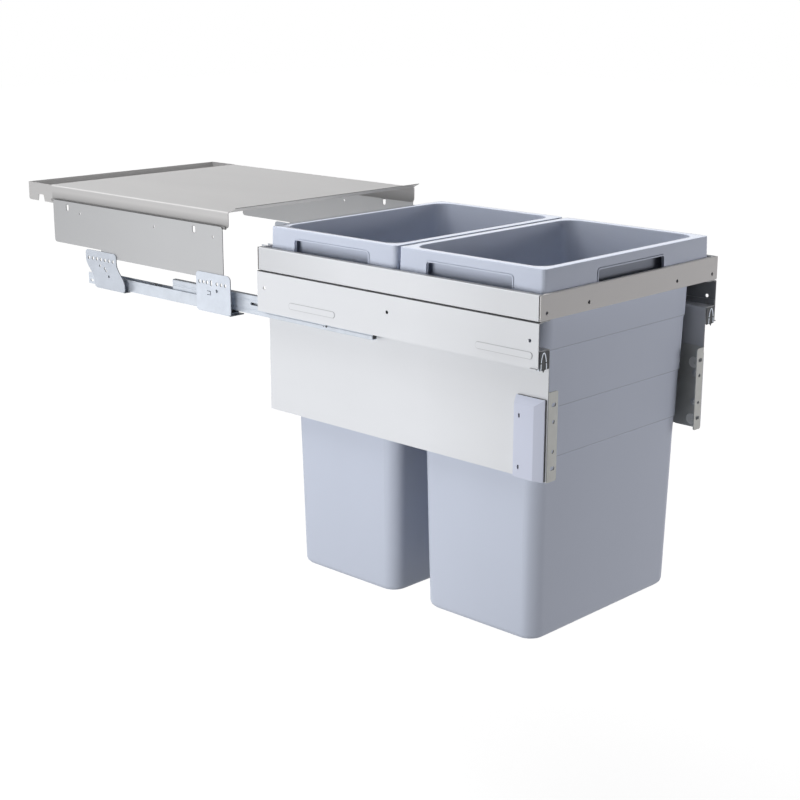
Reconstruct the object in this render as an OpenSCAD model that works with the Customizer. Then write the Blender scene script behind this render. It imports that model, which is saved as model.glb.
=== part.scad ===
// Pull-out waste bin unit for a kitchen base cabinet, drawn fully open.
// The origin is the centre of the front crossbar's front face, where the cabinet door is fixed.
// +X is to the right seen from the front, -Y is towards the door, +Z is up.
// The parts of one side are drawn for the right side and mirrored for the left side.

/* [Cabinet] */
// Clear width between the cabinet's side walls
clear_w = 418; // [416:0.5:440]
// Travel of the drawer from closed to fully open
travel = 575; // [540:1:576]
// Distance from the cabinet's front edge back to the front brackets
bracket_setback = 5.5; // [2:0.5:12]

/* [Drawer frame] */
// Distance from the cabinet's side wall in to the outside of the drawer's rim
frame_side_gap = 9; // [9:0.5:11]
// Length of the drawer frame
frame_l = 528; // [526:1:530]
// Height of the rim bands and crossbars
band_h = 34; // [30:1:38]
// Thickness of the rim's sheet metal
band_sheet = 1.2; // [1:0.1:1.5]
// Width of the rim's folded top edge
band_fold = 8; // [5:0.5:9]
// Width of the ledge that the bins stand on
ledge_w = 21; // [20:0.5:22]
// Gap between a side band and the front crossbar's back face
corner_gap = 1.8; // [1:0.1:3]

/* [Side panels] */
// Thickness of the side panels' sheet
panel_sheet = 1.2; // [1:0.1:1.5]
// Distance from the rim's outside face in to the lower panel's outside face
panel_inset = 21.4; // [21.2:0.1:21.8]
// How far the upper panel stands out past the rim
apron_step = 1.4; // [1:0.1:2]
// Gap between the rim's underside and the upper panel's top edge
seam_gap = 1; // [0.8:0.1:1.4]
// Height of the upper panel
apron_h = 61; // [58:0.5:62]
// Depth from the rim's underside to the top of the runner shelf
shelf_drop = 37.4; // [36:0.2:38]
// Depth from the rim's underside to the lower panel's bottom edge
panel_drop = 215; // [205:1:225]
// Height of the fold that fastens the runner shelf to the upper panel
shelf_fold = 8; // [5:0.5:9]
// Width of the lip turned out at the front of the upper panel's bottom edge
apron_lip = 3.4; // [2:0.1:3.4]
// Length of that lip
apron_lip_l = 12; // [8:0.5:16]
// Diameter of the holes in the upper panel
apron_hole_d = 5; // [4:0.5:6]
// Height of the pressed beads in the upper panel
bead_h = 8; // [6:0.5:9]
// How far the beads stand out
bead_rise = 0.8; // [0.3:0.1:0.8]

/* [Runner] */
// Outside width of the drawer profile and of the cabinet profile
runner_w = 16; // [15:0.1:16.5]
// Thickness of the outer runner profiles
runner_sheet = 1.4; // [1.2:0.1:1.5]
// Clearance from the upper panel to the runner
runner_side_gap = 1.4; // [1:0.1:2]
// Height of the drawer profile
arch_h = 17.4; // [16.6:0.2:17.8]
// Length of the drawer profile
drawer_profile_l = 520; // [505:1:524]
// Running clearance between the drawer profile and the cabinet profile
pass_gap = 1.5; // [1.2:0.1:2]
// Height of the cabinet profile
cabinet_profile_h = 19; // [18:0.2:20]
// Length of the cabinet profile
cabinet_profile_l = 358; // [345:1:370]
// Distance from the cabinet's front edge back to the cabinet profile
cabinet_profile_setback = 17; // [16:0.5:19]
// Width of the middle profile
middle_w = 9.2; // [8.8:0.1:9.6]
// Height of the middle profile
middle_h = 29.2; // [28.6:0.2:29.8]
// Length of the middle profile
middle_l = 436; // [430:1:440]
// Distance from the front crossbar back to the middle profile's front end
middle_y = 298; // [296:1:300]
// Wall of the middle profile
middle_wall = 1.5; // [1.2:0.1:1.6]
// Diameter of the runner's balls
ball_d = 3.2; // [3:0.1:3.3]
// Play between a ball and its groove or its cage
ball_play = 0.15; // [0.1:0.05:0.2]

/* [Cabinet brackets] */
// Thickness of the cabinet brackets
bracket_sheet = 1.5; // [1.2:0.1:1.6]
// Height of the cabinet brackets
bracket_h = 61.3; // [60:0.1:61.5]
// Length of the front bracket
front_bracket_l = 79; // [76:1:84]
// Length of the rear bracket's head
rear_bracket_l = 81; // [78:1:84]
// Length of the rear bracket's foot
rear_bracket_foot_l = 79; // [74:1:82]
// Distance from the cabinet's front edge back to the rear bracket's head
rear_bracket_setback = 285; // [280:1:288]
// How far the rear bracket's foot is set forward of its head
rear_bracket_lean = 20; // [16:1:22]
// Width of the bracket's foot turned in under the cabinet profile
bracket_foot_w = 29; // [27:0.5:30]
// Diameter of the screw holes in the brackets
bracket_hole_d = 5.6; // [5:0.1:6]

/* [Fixed cover] */
// Distance from the cabinet's side wall in to the cover's side skirt
lid_side_gap = 7; // [7:0.5:8]
// Length of the cover from its front fold to its rear wall
lid_l = 516; // [512:1:520]
// Distance from the cabinet's front edge back to the cover's front fold
lid_setback = 14; // [13.5:0.5:16]
// Height of the cover's top above the rim's top edge
lid_rise = 44.25; // [43:0.25:48]
// Thickness of the cover's sheet
lid_sheet_t = 1; // [0.8:0.1:1.2]
// Outside radius of the cover's folds
lid_fold_r = 3; // [1.5:0.1:3]
// Depth of the plain skirt at the rear
skirt_h = 29.8; // [28:0.2:31]
// Depth of the skirt down to the bottom of its rolled edge
rolled_skirt_h = 26.75; // [26:0.05:27]
// Outside radius of the skirt's rolled edge
roll_r = 2.1; // [1.8:0.1:2.1]
// Length of the rear end of the skirt without a rolled edge
plain_skirt_l = 68; // [60:1:72]
// Length of the sunk tray along the cover's rear edge
tray_l = 64; // [56:1:72]
// Depth of the sunk tray
tray_depth = 11; // [8:0.5:12]
// Length of the front lip along its slope
lip_l = 14.5; // [10:0.5:14.5]
// Slope of the front lip
lip_angle = 27; // [15:1:35]
// Thickness of the side plates that carry the cover
plate_sheet = 1.2; // [1:0.1:1.3]
// Height of the side plates at their rear end
plate_h = 71; // [68:1:73]
// How much deeper the side plates are in front of the rear bracket
plate_step = 11; // [8:0.5:12]
// Length of the side plates
plate_l = 431; // [425:1:436]
// Distance from the cabinet's front edge back to the side plates
plate_setback = 22; // [20:0.5:26]
// Height of the slots in the side plates
plate_slot_h = 11.7; // [10:0.1:13]
// Width of the slots in the side plates
plate_slot_w = 7; // [6:0.5:8]
// Distance between the two slots of a side plate
plate_slot_pitch = 325; // [310:1:340]

/* [Bins] */
// Distance from the outside of the drawer's rim in to the bin's rim
bin_side_gap = 15.4; // [15:0.2:17]
// Distance from the front crossbar's front face back to the front bin's collar
bin_front_gap = 5.5; // [5:0.5:6.5]
// Distance from the rear bin's collar back to the frame's rear end
bin_rear_gap = 12.5; // [11.5:0.5:13.5]
// Gap between the two bins' collars
bin_gap = 4; // [3.5:0.5:5]
// Height of a bin
bin_h = 517.8; // [480:1:530]
// Wall thickness of a bin
bin_wall = 2.5; // [2.2:0.1:2.8]
// Corner radius of the outside of the rim
rim_corner_r = 5; // [4:0.5:12]
// Corner radius of the bin's body at the rim
bin_corner_r = 24; // [22:1:30]
// Width of the flat top of the rim
rim_w = 8; // [6:0.5:9]
// Height of the collar round the rim
collar_h = 62.4; // [62.2:0.1:62.6]
// How far the collar flares out down to its lower edge
collar_flare = 1.5; // [1:0.1:1.8]
// Depth of one step round the body
body_step = 1.2; // [0.8:0.1:1.4]
// Draft of the body's walls, per unit of height
body_draft_share = 0.021; // [0.016:0.001:0.024]
// Width of a handle opening in the collar
grip_w = 148; // [120:1:156]
// Depth of solid collar above a handle opening
grip_top = 14.4; // [12:0.2:20]

/* [Door brackets] */
// Thickness of the door brackets
door_bracket_t = 1.5; // [1.2:0.1:1.8]
// Height of the door brackets
door_bracket_h = 120.4; // [118:0.2:122]
// Width of the flange that the door is screwed to, from the lower panel's outside face
door_flange_w = 19; // [18:0.2:20]
// Length of the bracket along the lower panel
door_leg_l = 46; // [44:1:50]
// Width of the slots in the flange
door_slot_w = 5.2; // [4.5:0.1:6]
// Length of the slots in the flange
door_slot_l = 9; // [8:0.5:10]
// Distance between the two slots
door_slot_pitch = 85.2; // [84:0.2:86]
// Distance between the two round holes
door_hole_pitch = 40; // [38:0.5:42]
// Diameter of the round holes
door_hole_d = 5.2; // [4.5:0.1:6]
// Thickness of the plastic cover over each door bracket's fixing
cover_t = 8; // [7:0.2:9]
// Length of the plastic cover
cover_l = 47; // [44:1:49]
// Height of the plastic cover
cover_h = 110; // [104:1:112]
// Diameter of the adjusting cams' heads
cam_head_d = 13; // [12.8:0.1:14]

/* [Hidden] */

// Facets of full circles
$fn = 48;
// Facets of the circles inside a hull
hull_fn = 32;
// How far a cutter runs past the face it cuts
over = 1;
// Gap between a piece and its seat on another body
seat_gap = 0.2;
// Gap between a pin and its hole
pin_gap = 0.1;

// Heights of the frame
z_band_top = band_h / 2;
z_band_bot = -band_h / 2;
z_ledge = z_band_bot + band_sheet;
z_shelf = z_band_bot - shelf_drop;
z_apron_bot = z_band_bot - apron_h;
z_panel_bot = z_band_bot - panel_drop;

// Widths and lengths that follow the cabinet and the drawer frame
frame_w = clear_w - 2 * frame_side_gap;
lid_w = clear_w - 2 * lid_side_gap;
bin_w = frame_w - 2 * bin_side_gap;
bin_l = (frame_l - bin_front_gap - bin_rear_gap - bin_gap) / 2 - 2 * collar_flare;
bin_pitch = bin_l + 2 * collar_flare + bin_gap;
front_bin_y = bin_front_gap + collar_flare + bin_l / 2;

// Distances of the sheets from the middle of the unit
x_rim = frame_w / 2;
x_rim_in = x_rim - band_sheet;
x_apron = x_rim + apron_step;
x_apron_in = x_apron - panel_sheet;
x_panel = x_rim - panel_inset;
x_panel_in = x_panel - panel_sheet;
x_wall = clear_w / 2;
x_bracket_in = x_wall - bracket_sheet;
x_plate_in = x_bracket_in - plate_sheet;

// Runner section
x_runner = x_apron_in - runner_side_gap - runner_w / 2;
channel_half = runner_w / 2 - runner_sheet;
z_arch_top = z_shelf - panel_sheet;
z_arch_bot = z_arch_top - arch_h;
z_cabinet_top = z_arch_bot - pass_gap;
z_cabinet_bot = z_cabinet_top - cabinet_profile_h;
// Clearance between the middle profile's top and the drawer profile
middle_top_gap = 1.8;
z_middle_top = z_arch_top - runner_sheet - middle_top_gap;
z_middle_bot = z_middle_top - middle_h;
// Distance of each row of balls from the open edge of its outer profile
ball_row_h = 6;
z_ball_upper = z_arch_bot + ball_row_h;
z_ball_lower = z_cabinet_top - ball_row_h;
x_ball = (channel_half + middle_w / 2) / 2;
groove_r = ball_d / 2 + ball_play;

// Positions along the travel
y_front_edge = travel;
y_bracket = y_front_edge + bracket_setback;
y_cabinet_profile = y_front_edge + cabinet_profile_setback;
y_rear_bracket = y_front_edge + rear_bracket_setback;
y_lid = y_front_edge + lid_setback;
y_lid_end = y_lid + lid_l;
y_plate = y_front_edge + plate_setback;
y_plate_end = y_plate + plate_l;
z_lid = z_band_top + lid_rise;
// First length of the drawer profile, kept clear of the front crossbar's back face
y_drawer_profile = 1;

// A profile in X and Z drawn along Y
module along_y(y0, y1) {
    translate([0, y1, 0])
    rotate([90, 0, 0])
    linear_extrude(y1 - y0)
    children();
}

// A profile in Y and Z given a thickness along X
module across_x(x0, x1) {
    translate([x0, 0, 0])
    rotate([90, 0, 90])
    linear_extrude(x1 - x0)
    children();
}

// A rectangle between two corners
module rect(a0, b0, a1, b1) {
    translate([a0, b0])
    square([a1 - a0, b1 - b0]);
}

// A rectangle with round corners
module round_rect(a0, b0, a1, b1, r) {
    rect(a0 + r, b0, a1 - r, b1);
    rect(a0, b0 + r, a1, b1 - r);
    for (a = [a0 + r, a1 - r], b = [b0 + r, b1 - r])
        translate([a, b])
        circle(r);
}

// A quarter of a ring, for a fold in sheet metal; qa and qb give the quadrant
module fold(a, b, r, t, qa, qb) {
    translate([a, b])
    intersection() {
        difference() {
            circle(r);
            circle(r - t);
        }
        rect(min(0, qa * r), min(0, qb * r), max(0, qa * r), max(0, qb * r));
    }
}

// A slot along Y, centred on a point
module slot_y(a, b, length, width) {
    rect(a - length / 2 + width / 2, b - width / 2, a + length / 2 - width / 2, b + width / 2);
    for (s = [-1, 1])
        translate([a + s * (length - width) / 2, b])
        circle(width / 2);
}

// A slot along Z, centred on a point
module slot_z(a, b, length, width) {
    rect(a - width / 2, b - length / 2 + width / 2, a + width / 2, b + length / 2 - width / 2);
    for (s = [-1, 1])
        translate([a, b + s * (length - width) / 2])
        circle(width / 2);
}

module left() {
    mirror([1, 0, 0])
    children();
}

// Side band of the rim: a channel open to the inside, whose lower fold carries the bins
rail_fold_r = 2;
rail_foot_r = 1.5;
rail_end_gap = band_sheet + corner_gap;

module side_rail() {
    color([0.86, 0.87, 0.88])
    along_y(rail_end_gap, frame_l - rail_end_gap) {
        rect(x_rim_in, z_band_bot + rail_foot_r, x_rim, z_band_top - rail_fold_r);
        rect(x_rim - band_fold, z_band_top - band_sheet, x_rim - rail_fold_r, z_band_top);
        rect(x_rim - ledge_w, z_band_bot, x_rim - rail_foot_r, z_ledge);
        fold(x_rim - rail_fold_r, z_band_top - rail_fold_r, rail_fold_r, band_sheet, 1, 1);
        fold(x_rim - rail_foot_r, z_band_bot + rail_foot_r, rail_foot_r, band_sheet, 1, -1);
    }
}

// Crossbars: a flat front with a narrow top fold, a ledge for the bins and a tab into each side rail
crossbar_top_fold = 4.6;
crossbar_ledge = 17;
crossbar_fold_gap = 1;
crossbar_tab_l = 20;
crossbar_tab_inset = 3;
crossbar_tab_root = 8;
crossbar_tab_set = 4;
crossbar_hole_d = 5;
outer_hole_inset = 13;
outer_hole_x = x_rim - outer_hole_inset;
outer_hole_drop = 7.3;
inner_hole_share = 0.5;
inner_hole_x = x_rim * inner_hole_share;
inner_hole_drop = 5.6;

module crossbar_section() {
    rect(0, z_band_bot + rail_fold_r, band_sheet, z_band_top - rail_fold_r);
    rect(rail_fold_r, z_band_top - band_sheet, crossbar_top_fold, z_band_top);
    rect(rail_fold_r, z_band_bot, crossbar_ledge, z_ledge);
    fold(rail_fold_r, z_band_top - rail_fold_r, rail_fold_r, band_sheet, -1, 1);
    fold(rail_fold_r, z_band_bot + rail_fold_r, rail_fold_r, band_sheet, -1, -1);
}

module crossbar() {
    across_x(-x_rim + band_fold + crossbar_fold_gap, x_rim - band_fold - crossbar_fold_gap)
    intersection() {
        crossbar_section();
        rect(0, z_ledge, crossbar_ledge, z_band_top);
    }
    across_x(-x_rim + ledge_w + crossbar_fold_gap, x_rim - ledge_w - crossbar_fold_gap)
    intersection() {
        crossbar_section();
        rect(0, z_band_bot, crossbar_ledge, z_ledge);
    }
    across_x(-x_rim, x_rim)
    intersection() {
        crossbar_section();
        rect(0, z_band_bot, band_sheet, z_band_top);
    }
    y_joggle = crossbar_tab_root + band_sheet;
    x_root = x_rim_in - crossbar_tab_set;
    for (s = [0, 1])
        mirror([s, 0, 0]) {
            across_x(x_root - band_sheet, x_root)
            rect(band_sheet / 2, z_band_bot + crossbar_tab_inset, y_joggle, z_band_top - crossbar_tab_inset);
            across_x(x_root, x_rim_in)
            rect(crossbar_tab_root, z_band_bot + crossbar_tab_inset, y_joggle, z_band_top - crossbar_tab_inset);
            across_x(x_rim_in - band_sheet, x_rim_in)
            rect(y_joggle, z_band_bot + crossbar_tab_inset, crossbar_tab_l, z_band_top - crossbar_tab_inset);
        }
}

module front_crossbar() {
    color([0.66, 0.66, 0.64])
    difference() {
        crossbar();
        for (s = [-1, 1], h = [[outer_hole_x, outer_hole_drop], [inner_hole_x, inner_hole_drop]])
            translate([s * h[0], -over, -h[1]])
            rotate([-90, 0, 0])
            cylinder(h = band_sheet + 2 * over, d = crossbar_hole_d);
    }
}

module rear_crossbar() {
    color([0.66, 0.66, 0.64])
    translate([0, frame_l, 0])
    mirror([0, 1, 0])
    crossbar();
}

// Upper side panel: the sheet outside the runner, with pressed beads and a lip along its bottom edge
apron_fold_in = 0.5;
apron_fold_r = apron_fold_in + panel_sheet;
seam_depth = 6;
lip_fold_in = 0.8;
lip_fold_r = lip_fold_in + panel_sheet;
panel_front = 1;
apron_hole_inset = 15;
apron_hole_drop = 25.2;
bead_drop = 33.6;
bead_l = 94;
front_bead_y = 57.5;
rear_bead_y = 413;

module upper_side_panel() {
    z_apron_top = z_band_bot - seam_gap;
    x_joggle = x_apron - seam_depth;
    y_lip_end = panel_front + apron_lip_l;
    color([0.87, 0.88, 0.89])
    difference() {
        union() {
            along_y(panel_front, frame_l) {
                rect(x_apron_in, z_apron_bot + lip_fold_r, x_apron, z_apron_top - apron_fold_r);
                fold(x_apron - apron_fold_r, z_apron_top - apron_fold_r, apron_fold_r, panel_sheet, 1, 1);
                rect(x_joggle, z_apron_top - panel_sheet, x_apron - apron_fold_r, z_apron_top);
                rect(x_joggle - panel_sheet, z_apron_top - panel_sheet, x_joggle, z_band_bot);
                rect(x_rim - ledge_w, z_band_bot - panel_sheet, x_joggle - panel_sheet, z_band_bot);
            }
            along_y(y_lip_end, frame_l)
            rect(x_apron_in, z_apron_bot, x_apron, z_apron_bot + lip_fold_r);
            along_y(panel_front, y_lip_end) {
                fold(x_apron + lip_fold_in, z_apron_bot + lip_fold_r, lip_fold_r, panel_sheet, -1, -1);
                rect(x_apron + lip_fold_in, z_apron_bot, x_apron + apron_lip, z_apron_bot + panel_sheet);
            }
            across_x(x_apron - panel_sheet / 2, x_apron + bead_rise)
            for (y = [front_bead_y, rear_bead_y])
                slot_y(y, z_band_bot - bead_drop, bead_l, bead_h);
        }
        across_x(x_apron_in - over, x_apron_in + bead_rise)
        for (y = [front_bead_y, rear_bead_y])
            slot_y(y, z_band_bot - bead_drop, bead_l - 2 * panel_sheet, bead_h - 2 * panel_sheet);
        for (y = [apron_hole_inset, frame_l / 2, frame_l - apron_hole_inset])
            translate([x_apron_in - over, y, z_band_bot - apron_hole_drop])
            rotate([0, 90, 0])
            cylinder(h = panel_sheet + 2 * over, d = apron_hole_d);
    }
}

// Lower side panel: folds out over the runner as a shelf and up against the upper panel
shelf_fold_in = 0.8;
shelf_fold_r = shelf_fold_in + panel_sheet;
lower_panel_front = door_bracket_t;

module lower_side_panel() {
    color([0.88, 0.89, 0.9])
    difference() {
        along_y(lower_panel_front, frame_l) {
            rect(x_panel_in, z_panel_bot, x_panel, z_shelf - shelf_fold_r);
            fold(x_panel + shelf_fold_in, z_shelf - shelf_fold_r, shelf_fold_r, panel_sheet, -1, 1);
            rect(x_panel + shelf_fold_in, z_arch_top, x_apron_in - shelf_fold_r, z_shelf);
            fold(x_apron_in - shelf_fold_r, z_shelf + shelf_fold_in, shelf_fold_r, panel_sheet, 1, -1);
            rect(x_apron_in - panel_sheet, z_shelf + shelf_fold_in, x_apron_in, z_shelf + shelf_fold);
        }
        for (z = cam_z)
            translate([x_panel_in - over, cam_y, z])
            rotate([0, 90, 0])
            cylinder(h = panel_sheet + 2 * over, r = cam_shaft_r + pin_gap);
        for (z = clamp_z)
            translate([x_panel_in - over, cam_y, z])
            rotate([0, 90, 0])
            cylinder(h = panel_sheet + 2 * over, r = clamp_r + pin_gap);
    }
}

// Drawer profile: a sheet arch under the shelf that rides over the middle profile
arch_r = 5.5;
ear_drop = 7;
ear_l = 8.5;
groove_wall = 0.3;

module arch_section(bottom) {
    difference() {
        intersection() {
            round_rect(-runner_w / 2, bottom - 2 * arch_r, runner_w / 2, z_arch_top, arch_r);
            rect(-runner_w / 2, bottom, runner_w / 2, z_arch_top);
        }
        round_rect(-channel_half, bottom - 2 * arch_r, channel_half, z_arch_top - runner_sheet, arch_r - runner_sheet);
        for (s = [-1, 1])
            translate([s * x_ball, z_ball_upper])
            circle(groove_r);
    }
}

module drawer_profile() {
    color([0.85, 0.87, 0.9])
    translate([x_runner, 0, 0]) {
        along_y(y_drawer_profile + ear_l, y_drawer_profile + drawer_profile_l)
        arch_section(z_arch_bot);
        along_y(y_drawer_profile, y_drawer_profile + ear_l)
        arch_section(z_arch_bot - ear_drop);
    }
}

// End stop: a plastic plug in the drawer profile's mouth that the middle profile meets when closed
stop_recess = 0.5;
stop_half = 4.2;
stop_drop = 10;
stop_point = 5;

module profile_end_stop() {
    color([0.2, 0.21, 0.22])
    translate([x_runner, 0, 0])
    along_y(y_drawer_profile + stop_recess, y_drawer_profile + ear_l) {
        polygon([
            [-stop_half, z_ball_upper - groove_r],
            [-stop_half, z_arch_bot - ear_drop],
            [0, z_arch_bot - stop_drop],
            [stop_half, z_arch_bot - ear_drop],
            [stop_half, z_ball_upper - groove_r],
            [stop_half, z_ball_upper],
            [0, z_arch_top - runner_sheet - stop_point],
            [-stop_half, z_ball_upper]
        ]);
        rect(-channel_half, z_ball_upper - groove_r - ball_d, channel_half, z_ball_upper - groove_r);
    }
}

// Middle profile: a closed tube with two rows of ball grooves on each side
middle_r = 2.5;
middle_hole_d = 4;
middle_hole_l = 30;
middle_hole_y = 536;
middle_hole_drop = 12.9;

module middle_profile() {
    half = middle_w / 2;
    color([0.84, 0.86, 0.9])
    difference() {
        translate([x_runner, 0, 0])
        along_y(middle_y, middle_y + middle_l)
        difference() {
            round_rect(-half, z_middle_bot, half, z_middle_top, middle_r);
            rect(-half + middle_wall + groove_r / 2, z_middle_bot + middle_wall,
                half - middle_wall - groove_r / 2, z_middle_top - middle_wall);
            for (s = [-1, 1], z = [z_ball_upper, z_ball_lower])
                translate([s * x_ball, z])
                circle(groove_r);
        }
        across_x(x_runner + half - middle_wall - groove_r, x_runner + half + over)
        slot_y(middle_hole_y, z_middle_top - middle_hole_drop, middle_hole_l, middle_hole_d);
    }
}

// Cabinet profile: a channel open at the top, which holds the lower half of the middle profile
channel_r = 1.6;
profile_slot_l = 9;
profile_slot_h = 4;

module cabinet_profile() {
    color([0.86, 0.89, 0.93])
    difference() {
        translate([x_runner, 0, 0])
        along_y(y_cabinet_profile, y_cabinet_profile + cabinet_profile_l)
        difference() {
            intersection() {
                round_rect(-runner_w / 2, z_cabinet_bot, runner_w / 2, z_cabinet_top + 2 * channel_r, channel_r);
                rect(-runner_w / 2, z_cabinet_bot, runner_w / 2, z_cabinet_top);
            }
            rect(-channel_half, z_cabinet_bot + runner_sheet, channel_half, z_cabinet_top + over);
            for (s = [-1, 1])
                translate([s * x_ball, z_ball_lower])
                circle(groove_r);
        }
        across_x(x_runner + channel_half - over, x_runner + runner_w / 2 + over)
        slot_y(y_cabinet_profile + cabinet_profile_l - profile_slot_l, z_cabinet_bot + cabinet_profile_h / 3,
            profile_slot_l, profile_slot_h);
        for (y = rivet_y)
            translate([x_runner, y, z_cabinet_bot - over])
            cylinder(h = runner_sheet + 2 * over, r = rivet_r + pin_gap);
    }
}

// Ball cages: plastic strips that hold the balls between two profiles
cage_gap = 0.4;
cage_half_in = middle_w / 2 + cage_gap;
cage_half_out = channel_half - cage_gap;
cage_web = 0.9;
cage_reach = 3;
cage_r = 3.8;
cage_r_in = 2.8;
upper_cage_l = 200;
lower_cage_l = 124;
upper_cage_y = middle_y + 4;
lower_cage_y = y_cabinet_profile + 8;
balls_per_row = 7;

module cage_section(height) {
    difference() {
        intersection() {
            round_rect(-cage_half_out, -height - 2 * cage_r, cage_half_out, 0, cage_r);
            rect(-cage_half_out, -height, cage_half_out, 0);
        }
        round_rect(-cage_half_in, -height - 3 * cage_r, cage_half_in, -cage_web, cage_r_in);
    }
}

// z_web is the outer face of the cage's web; dir is 1 with the web on top, -1 with the web below
module cage(y0, length, z_balls, z_web, dir) {
    pitch = length / balls_per_row;
    height = dir * (z_web - z_balls) + cage_reach;
    color([0.25, 0.26, 0.27])
    difference() {
        translate([0, 0, z_web])
        mirror([0, 0, (1 - dir) / 2])
        along_y(y0, y0 + length)
        cage_section(height);
        for (i = [0 : balls_per_row - 1])
            translate([-cage_half_out - over, y0 + (i + 0.5) * pitch, z_balls])
            rotate([0, 90, 0])
            cylinder(h = 2 * cage_half_out + 2 * over, r = groove_r);
    }
    color([0.75, 0.76, 0.78])
    for (i = [0 : balls_per_row - 1], s = [-1, 1])
        translate([s * x_ball, y0 + (i + 0.5) * pitch, z_balls])
        sphere(d = ball_d);
}

module upper_ball_cage() {
    translate([x_runner, 0, 0])
    cage(upper_cage_y, upper_cage_l, z_ball_upper, z_middle_top + (middle_top_gap + cage_web) / 2, 1);
}

module lower_ball_cage() {
    floor_gap = z_middle_bot - z_cabinet_bot - runner_sheet;
    translate([x_runner, 0, 0])
    cage(lower_cage_y, lower_cage_l, z_ball_lower, z_middle_bot - (floor_gap + cage_web) / 2, -1);
}

// Closing catch: slides in the cabinet profile's mouth and pulls the drawer shut
catch_y = 200;
catch_l = 12;
catch_foot = 2.2;
catch_rise = 2.7;
catch_prong = 4;
catch_gap = 0.3;

module closing_catch() {
    y0 = y_front_edge + catch_y;
    color([0.3, 0.32, 0.35])
    translate([x_runner, y0, 0])
    difference() {
        translate([cage_half_in, -catch_l / 2, z_cabinet_top - catch_foot])
        cube([channel_half - catch_gap - cage_half_in, catch_l, catch_foot + pass_gap + catch_rise]);
        translate([0, -catch_l / 2 + catch_prong, z_cabinet_top + pass_gap / 2])
        cube([runner_w, catch_l - 2 * catch_prong, arch_h]);
    }
}

// Cabinet brackets: plates on the cabinet wall, each with a foot under the cabinet profile
bracket_fold_r = 2.5;
bracket_corner_r = 7;
foot_inset = 3;
rivet_r = 2;
rivet_head_r = 3.6;
rivet_head_h = 1.2;
rivet_share = [0.24, 0.76];
z_bracket_bot = z_cabinet_bot - bracket_sheet;
z_bracket_top = z_bracket_bot + bracket_h;
y_rear_foot = y_rear_bracket - rear_bracket_lean;
rivet_y = concat(
    [for (s = rivet_share) y_bracket + s * front_bracket_l],
    [for (s = rivet_share) y_rear_foot + s * rear_bracket_foot_l]);
// Depth of the screw holes below the bracket's top
hole_row_drop = 15.3;
front_row = [11, 20.7, 30.4, 53.1, 61.9, 70.7];
front_slot_at = 43.6;
front_slot_h = 9;
front_slot_w = 4.6;
lance_w = 8;
lance_h = 7;
lance_t = 1.4;
lance_at = [49.2, 30.7];
locator_at = [31, 26];
locator_d = 5;
rear_row_start = 8.5;
rear_row_drop = 13.1;
rear_row_pitch = 10.7;
rear_row_count = 7;
rear_small = [[43.2, 23.7], [31.1, 26.8], [27.1, 30.3], [20.7, 38.8]];
rear_small_d = 4.2;

module bracket_foot(y0, y1) {
    along_y(y0 + foot_inset, y1 - foot_inset) {
        rect(x_wall - bracket_foot_w, z_bracket_bot, x_wall - bracket_fold_r, z_cabinet_bot);
        fold(x_wall - bracket_fold_r, z_bracket_bot + bracket_fold_r, bracket_fold_r, bracket_sheet, 1, -1);
    }
}

module foot_holes() {
    for (y = rivet_y)
        translate([x_runner, y, z_bracket_bot - over])
        cylinder(h = bracket_sheet + 2 * over, r = rivet_r + pin_gap);
}

module front_bracket() {
    y1 = y_bracket + front_bracket_l;
    z_base = z_bracket_bot + bracket_fold_r;
    z_row = z_bracket_top - hole_row_drop;
    color([0.85, 0.88, 0.92])
    difference() {
        union() {
            across_x(x_bracket_in, x_wall)
            intersection() {
                round_rect(y_bracket, z_base - 2 * bracket_corner_r, y1, z_bracket_top, bracket_corner_r);
                rect(y_bracket, z_base, y1, z_bracket_top);
            }
            bracket_foot(y_bracket, y1);
        }
        foot_holes();
        across_x(x_bracket_in - over, x_wall + over) {
            for (a = front_row)
                translate([y_bracket + a, z_row])
                circle(d = bracket_hole_d);
            slot_z(y_bracket + front_slot_at, z_row, front_slot_h, front_slot_w);
            translate([y_bracket + locator_at[0], z_bracket_top - locator_at[1]])
            circle(d = locator_d);
            translate([y_bracket + lance_at[0], z_bracket_top - lance_at[1]])
            difference() {
                rect(-lance_w / 2, -lance_h / 2, lance_w / 2, lance_h / 2);
                rect(-lance_w / 2 + lance_t, -lance_h / 2 + lance_t, lance_w, lance_h / 2 - lance_t);
            }
        }
    }
}

// Places along the rear bracket's slanted waist, as shares of its height from the top
waist_top_share = 0.25;
waist_end_share = 0.82;
waist_steps = 12;
rear_head_r = 6;

function waist(i) = let (t = i / waist_steps) [
    (1 - cos(180 * t)) / 2 * rear_bracket_lean,
    z_bracket_top - bracket_h * (waist_top_share + (waist_end_share - waist_top_share) * t)];

module rear_bracket_outline() {
    y0 = y_rear_bracket;
    y1 = y_rear_bracket + rear_bracket_l;
    foot_cut = rear_bracket_l - rear_bracket_foot_l;
    z_base = z_bracket_bot + bracket_fold_r;
    r = rear_head_r;
    polygon(concat(
        [[y0, z_bracket_top - r]],
        [for (i = [0 : waist_steps]) [y0 - waist(i)[0], waist(i)[1]]],
        [[y_rear_foot, z_base], [y_rear_foot + rear_bracket_foot_l, z_base]],
        [for (i = [waist_steps : -1 : 0]) [y1 - waist(i)[0] - foot_cut * (i / waist_steps), waist(i)[1]]],
        [[y1, z_bracket_top - r], [y1 - r, z_bracket_top - r], [y0 + r, z_bracket_top - r]]));
    rect(y0 + r, z_bracket_top - 2 * r, y1 - r, z_bracket_top);
    for (y = [y0 + r, y1 - r])
        translate([y, z_bracket_top - r])
        circle(r);
}

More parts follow.
